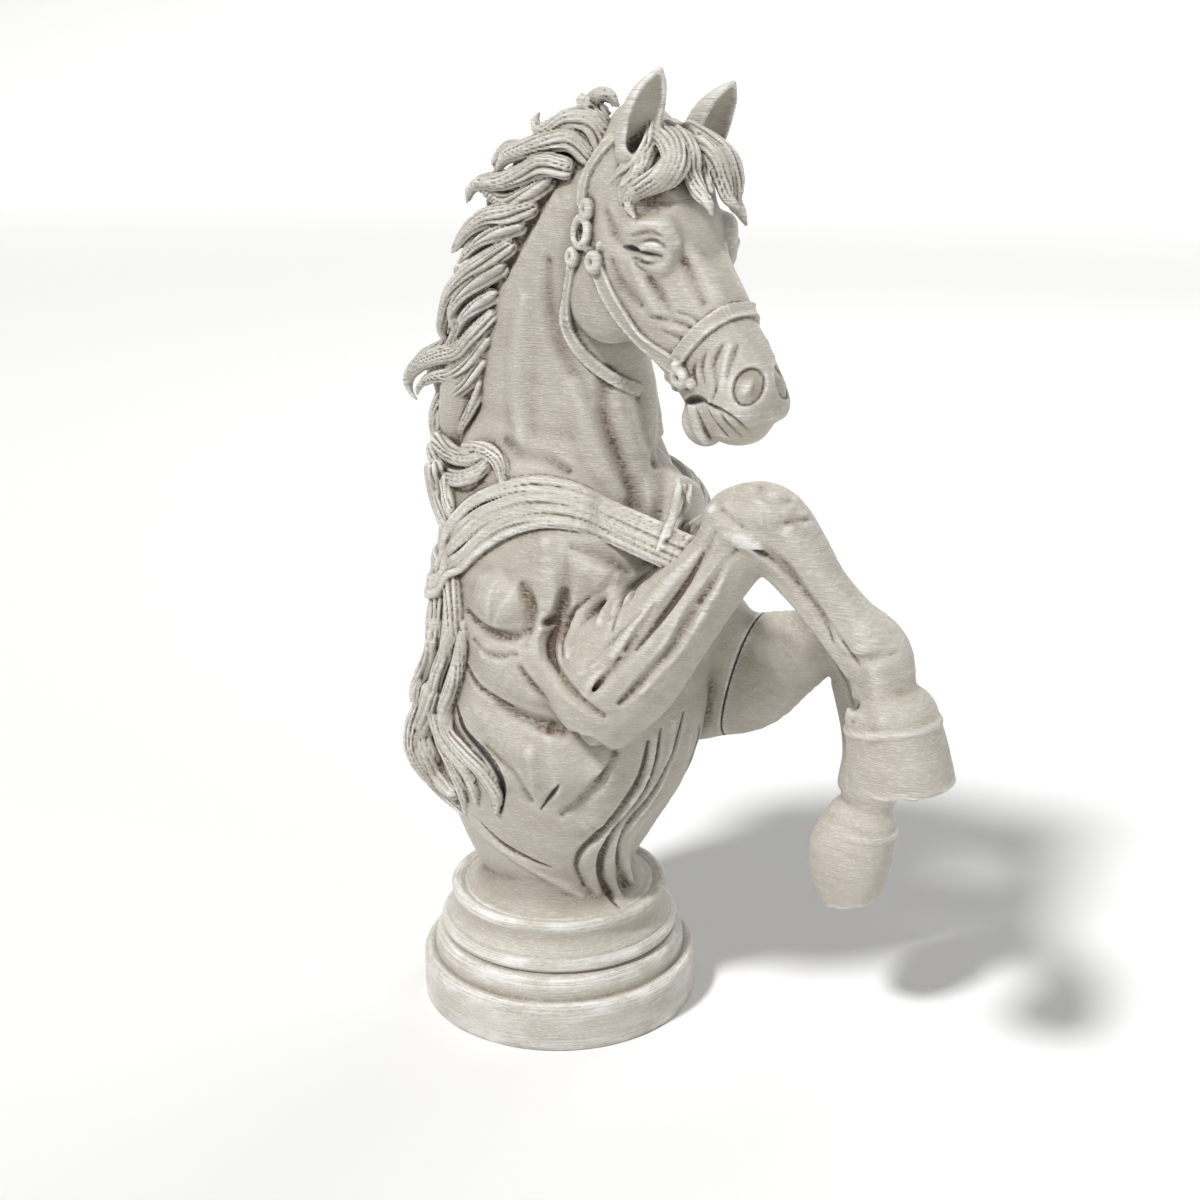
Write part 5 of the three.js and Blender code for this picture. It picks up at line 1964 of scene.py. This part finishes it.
@dataclass(frozen=True)
class PaintedPrint:
    """Bone-coloured printed plastic, brown-washed in the hollows, with painted shade in the wide recesses and
    whitish ridges that are partly drybrush and partly painted highlight.

    Colours are linear.
    """

    bone: Colour = (0.475, 0.44, 0.375)
    stain_and_shade: Colour = (0.265, 0.215, 0.155)
    rust: Colour = (0.27, 0.16, 0.08)
    wash_and_shade: Colour = (0.080, 0.054, 0.038)
    pale_and_highlight: Colour = (0.84, 0.83, 0.81)
    ink: Colour = (0.010, 0.009, 0.014)
    gloss: float = 0.38

    def build(self) -> bpy.types.Material:
        """Builds the material.

        Returns:
            The material, which reads the attributes crisp, hollow, deep and ink.
        """
        material = bpy.data.materials.new("washed_bone_plastic")
        material.use_nodes = True
        tree = material.node_tree
        shader = tree.nodes["Principled BSDF"]
        link = tree.links.new
        place = tree.nodes.new("ShaderNodeTexCoord").outputs["Object"]
        hatch = self.noise(tree, place, (420.0, 420.0, 2600.0), 3.0, 0.65)
        layers = self.noise(tree, place, (45.0, 45.0, 3400.0), 2.0, 0.5)
        patch = self.noise(tree, place, (85.0, 85.0, 130.0), 5.0, 0.6)
        cloud = self.noise(tree, place, (42.0, 42.0, 55.0), 3.0, 0.55)
        speckle = self.noise(tree, place, (1000.0, 1000.0, 1400.0), 3.0, 0.6)
        crisp = self.attribute(tree, "crisp")
        hollow = self.attribute(tree, "hollow")
        deep = self.attribute(tree, "deep")
        rough = self.sum(tree, hatch, speckle, 0.6)
        grain = self.span(tree, rough, 0.62, 0.98, 0.1, 1.35)
        line = self.span(tree, self.sum(tree, crisp, speckle, 0.12), 0.09, 0.17)
        groove = self.span(tree, self.sum(tree, hollow, patch, 0.22), 0.17, 0.64)
        shade = self.span(tree, deep, 0.0, 1.25)
        # Painted shade: the wide recesses are darkened towards a stained brown.
        colour = self.mix(tree, self.span(tree, deep, 0.0, 1.5, 0.0, 0.8), self.bone, self.stain_and_shade)
        hidden = self.span(tree, hollow, -0.35, 0.1, 0.15, 1.0)
        tint = self.product(tree, self.span(tree, self.sum(tree, rough, patch, 0.9), 1.06, 1.5, 0.0, 0.8),
            hidden)
        colour = self.mix(tree, tint, colour, self.stain_and_shade)
        flecks = self.product(tree,
            self.span(tree, self.sum(tree, speckle, cloud, 0.5), 0.88, 0.97, 0.0, 0.6), hidden)
        colour = self.mix(tree, self.product(tree, flecks, grain), colour, self.stain_and_shade)
        spot = self.product(tree, self.span(tree, cloud, 0.60, 0.74), self.span(tree, deep, 0.0, 0.5))
        colour = self.mix(tree, self.product(tree, spot, grain), colour, self.rust)
        colour = self.mix(tree, self.span(tree, rough, 0.74, 1.06, 0.0, 0.5), colour, self.pale_and_highlight)
        # Brown-washed hollows and fine creases, with painted shade of the wide recesses added in.
        settled = self.sum(tree, self.product(tree, self.sum(tree, groove, shade, 0.9), grain), line, 0.6)
        settled = self.span(tree, settled, 0.05, 1.05, 0.0, 0.93)
        colour = self.mix(tree, settled, colour, self.wash_and_shade)
        # Whitish ridges: partly drybrush, partly a painted highlight on the raised forms.
        raised = self.sum(tree, hollow, crisp, 1.5)
        drybrush_and_highlight = self.span(tree, self.sum(tree, patch, layers, 0.8), 0.78, 1.06, 0.0, 0.8)
        colour = self.mix(tree, self.product(tree, self.span(tree, raised, -0.06, -0.5), drybrush_and_highlight), colour,
            self.pale_and_highlight)
        colour = self.mix(tree, self.attribute(tree, "ink"), colour, self.ink)
        link(colour, shader.inputs["Base Color"])
        link(self.span(tree, settled, 0.0, 1.0, self.gloss, 0.66), shader.inputs["Roughness"])
        shader.inputs["IOR"].default_value = 1.48
        height = self.sum(tree, self.sum(tree, hatch, layers, 0.5), speckle, 0.4)
        bump = tree.nodes.new("ShaderNodeBump")
        bump.inputs["Strength"].default_value = 0.8
        bump.inputs["Distance"].default_value = 0.0005
        link(height, bump.inputs["Height"])
        link(bump.outputs["Normal"], shader.inputs["Normal"])
        return material

    @staticmethod
    def noise(tree: bpy.types.NodeTree, place: Socket, scale: Point, detail: float,
            roughness: float) -> Socket:
        """Adds noise that is stretched by a scale along each axis."""
        mapping = tree.nodes.new("ShaderNodeMapping")
        mapping.inputs["Scale"].default_value = scale
        noise = tree.nodes.new("ShaderNodeTexNoise")
        noise.inputs["Scale"].default_value = 1.0
        noise.inputs["Detail"].default_value = detail
        noise.inputs["Roughness"].default_value = roughness
        tree.links.new(place, mapping.inputs["Vector"])
        tree.links.new(mapping.outputs["Vector"], noise.inputs["Vector"])
        return noise.outputs["Fac"]

    @staticmethod
    def attribute(tree: bpy.types.NodeTree, name: str) -> Socket:
        """Adds a mesh attribute's value."""
        node = tree.nodes.new("ShaderNodeAttribute")
        node.attribute_name = name
        return node.outputs["Fac"]

    @staticmethod
    def span(
        tree: bpy.types.NodeTree, value: Socket, low: float, high: float, start: float = 0.0,
            end: float = 1.0
    ) -> Socket:
        """Maps low to high onto start to end, clamped."""
        node = tree.nodes.new("ShaderNodeMapRange")
        for name, number in (("From Min", low), ("From Max", high), ("To Min", start), ("To Max", end)):
            node.inputs[name].default_value = number
        tree.links.new(value, node.inputs["Value"])
        return node.outputs["Result"]

    @staticmethod
    def sum(tree: bpy.types.NodeTree, one: Socket, two: Socket, share: float) -> Socket:
        """Adds a share of the second value to the first."""
        node = tree.nodes.new("ShaderNodeMath")
        node.operation = "MULTIPLY_ADD"
        tree.links.new(two, node.inputs[0])
        node.inputs[1].default_value = share
        tree.links.new(one, node.inputs[2])
        return node.outputs["Value"]

    @staticmethod
    def product(tree: bpy.types.NodeTree, one: Socket, two: Socket) -> Socket:
        """Multiplies two values and clamps the result."""
        node = tree.nodes.new("ShaderNodeMath")
        node.operation = "MULTIPLY"
        node.use_clamp = True
        tree.links.new(one, node.inputs[0])
        tree.links.new(two, node.inputs[1])
        return node.outputs["Value"]

    @staticmethod
    def mix(tree: bpy.types.NodeTree, share: Socket, one: "Socket | Colour",
            two: "Socket | Colour") -> Socket:
        """Mixes two colours."""
        node = tree.nodes.new("ShaderNodeMix")
        node.data_type = "RGBA"
        tree.links.new(share, node.inputs["Factor"])
        for value, spot in ((one, 6), (two, 7)):
            if isinstance(value, tuple):
                node.inputs[spot].default_value = (*value, 1.0)
            else:
                tree.links.new(value, node.inputs[spot])
        return node.outputs[2]


# Studio and assembly


def set_studio() -> None:
    """Sets the floor, the soft lights and the camera at the photograph's viewing angle."""
    scene = bpy.context.scene
    mesh = bpy.data.meshes.new("floor")
    rim = [(4.0 + 1.2 * math.sin(a), 1.2 - 1.2 * math.cos(a)) for a in np.linspace(0, math.pi / 2, 9)]
    rings = [(0.5, 0.0), (2.0, 0.0), *rim, (5.2, 2.0)]
    sides = 96
    verts = [(0.0, 0.0, 0.0)]
    for radius, height in rings:
        verts += [(radius * math.cos(2 * math.pi * k / sides), radius * math.sin(2 * math.pi * k / sides),
            height) for k in range(sides)]
    faces = [(0, 1 + k, 1 + (k + 1) % sides) for k in range(sides)]
    for ring in range(len(rings) - 1):
        low = 1 + ring * sides
        for k in range(sides):
            after = (k + 1) % sides
            faces.append((low + k, low + sides + k, low + sides + after, low + after))
    mesh.from_pydata(verts, [], faces)
    mesh.shade_smooth()
    floor = bpy.data.objects.new("floor", mesh)
    scene.collection.objects.link(floor)
    paint = bpy.data.materials.new("floor_paint")
    paint.use_nodes = True
    paint.node_tree.nodes["Principled BSDF"].inputs["Base Color"].default_value = (0.82, 0.82, 0.81, 1)
    paint.node_tree.nodes["Principled BSDF"].inputs["Roughness"].default_value = 0.9
    mesh.materials.append(paint)
    world = bpy.data.worlds.new("studio")
    world.use_nodes = True
    world.node_tree.nodes["Background"].inputs["Color"].default_value = (1, 1, 1, 1)
    world.node_tree.nodes["Background"].inputs["Strength"].default_value = 0.27
    scene.world = world
    scene.view_settings.view_transform = "Standard"
    target = Vector((0.02, 0, 0.15))
    for name, kind, place, power, size in (
        ("sun", "SUN", (-0.20, -1.0, 1.36), 3.2, math.radians(8)),
        ("side", "AREA", (1.3, -0.25, 0.6), 1.6, 0.5),
        ("back", "AREA", (0.1, 1.3, 1.2), 6.0, 0.9),
    ):
        data = bpy.data.lights.new(name, kind)
        data.energy = power
        if kind == "SUN":
            data.angle = size
        else:
            data.size = size
        light = bpy.data.objects.new(name, data)
        light.location = place
        light.rotation_euler = (target - Vector(place)).to_track_quat("-Z", "Y").to_euler()
        scene.collection.objects.link(light)
    camera = bpy.data.cameras.new("camera")
    camera.sensor_width = 36
    camera.lens = 49.5
    camera.clip_start = 0.01
    view = bpy.data.objects.new("camera", camera)
    view.location = Vector(STAND.place) * MM
    view.rotation_euler = Vector(STAND.axes()[2]).to_track_quat("-Z", "Y").to_euler()
    scene.collection.objects.link(view)
    scene.camera = view


def main() -> None:
    """Builds every piece, dresses it and sets the studio."""
    logging.basicConfig(level=logging.INFO, format="%(message)s")
    finish = PaintedPrint().build()
    bust = HorseBust("bust", "horse_bust", 190000).build()
    bust.append(Socle(finish).build())
    leg = FarForeleg("foreleg", "far_foreleg", 100000).build()
    for pieces, node in ((bust, "horse_bust"), (leg, "far_foreleg")):
        for piece in pieces:
            piece.data.materials.clear()
            piece.data.materials.append(finish)
            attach(piece, "root")
            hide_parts(node)
    set_studio()


if __name__ == "__main__":
    main()
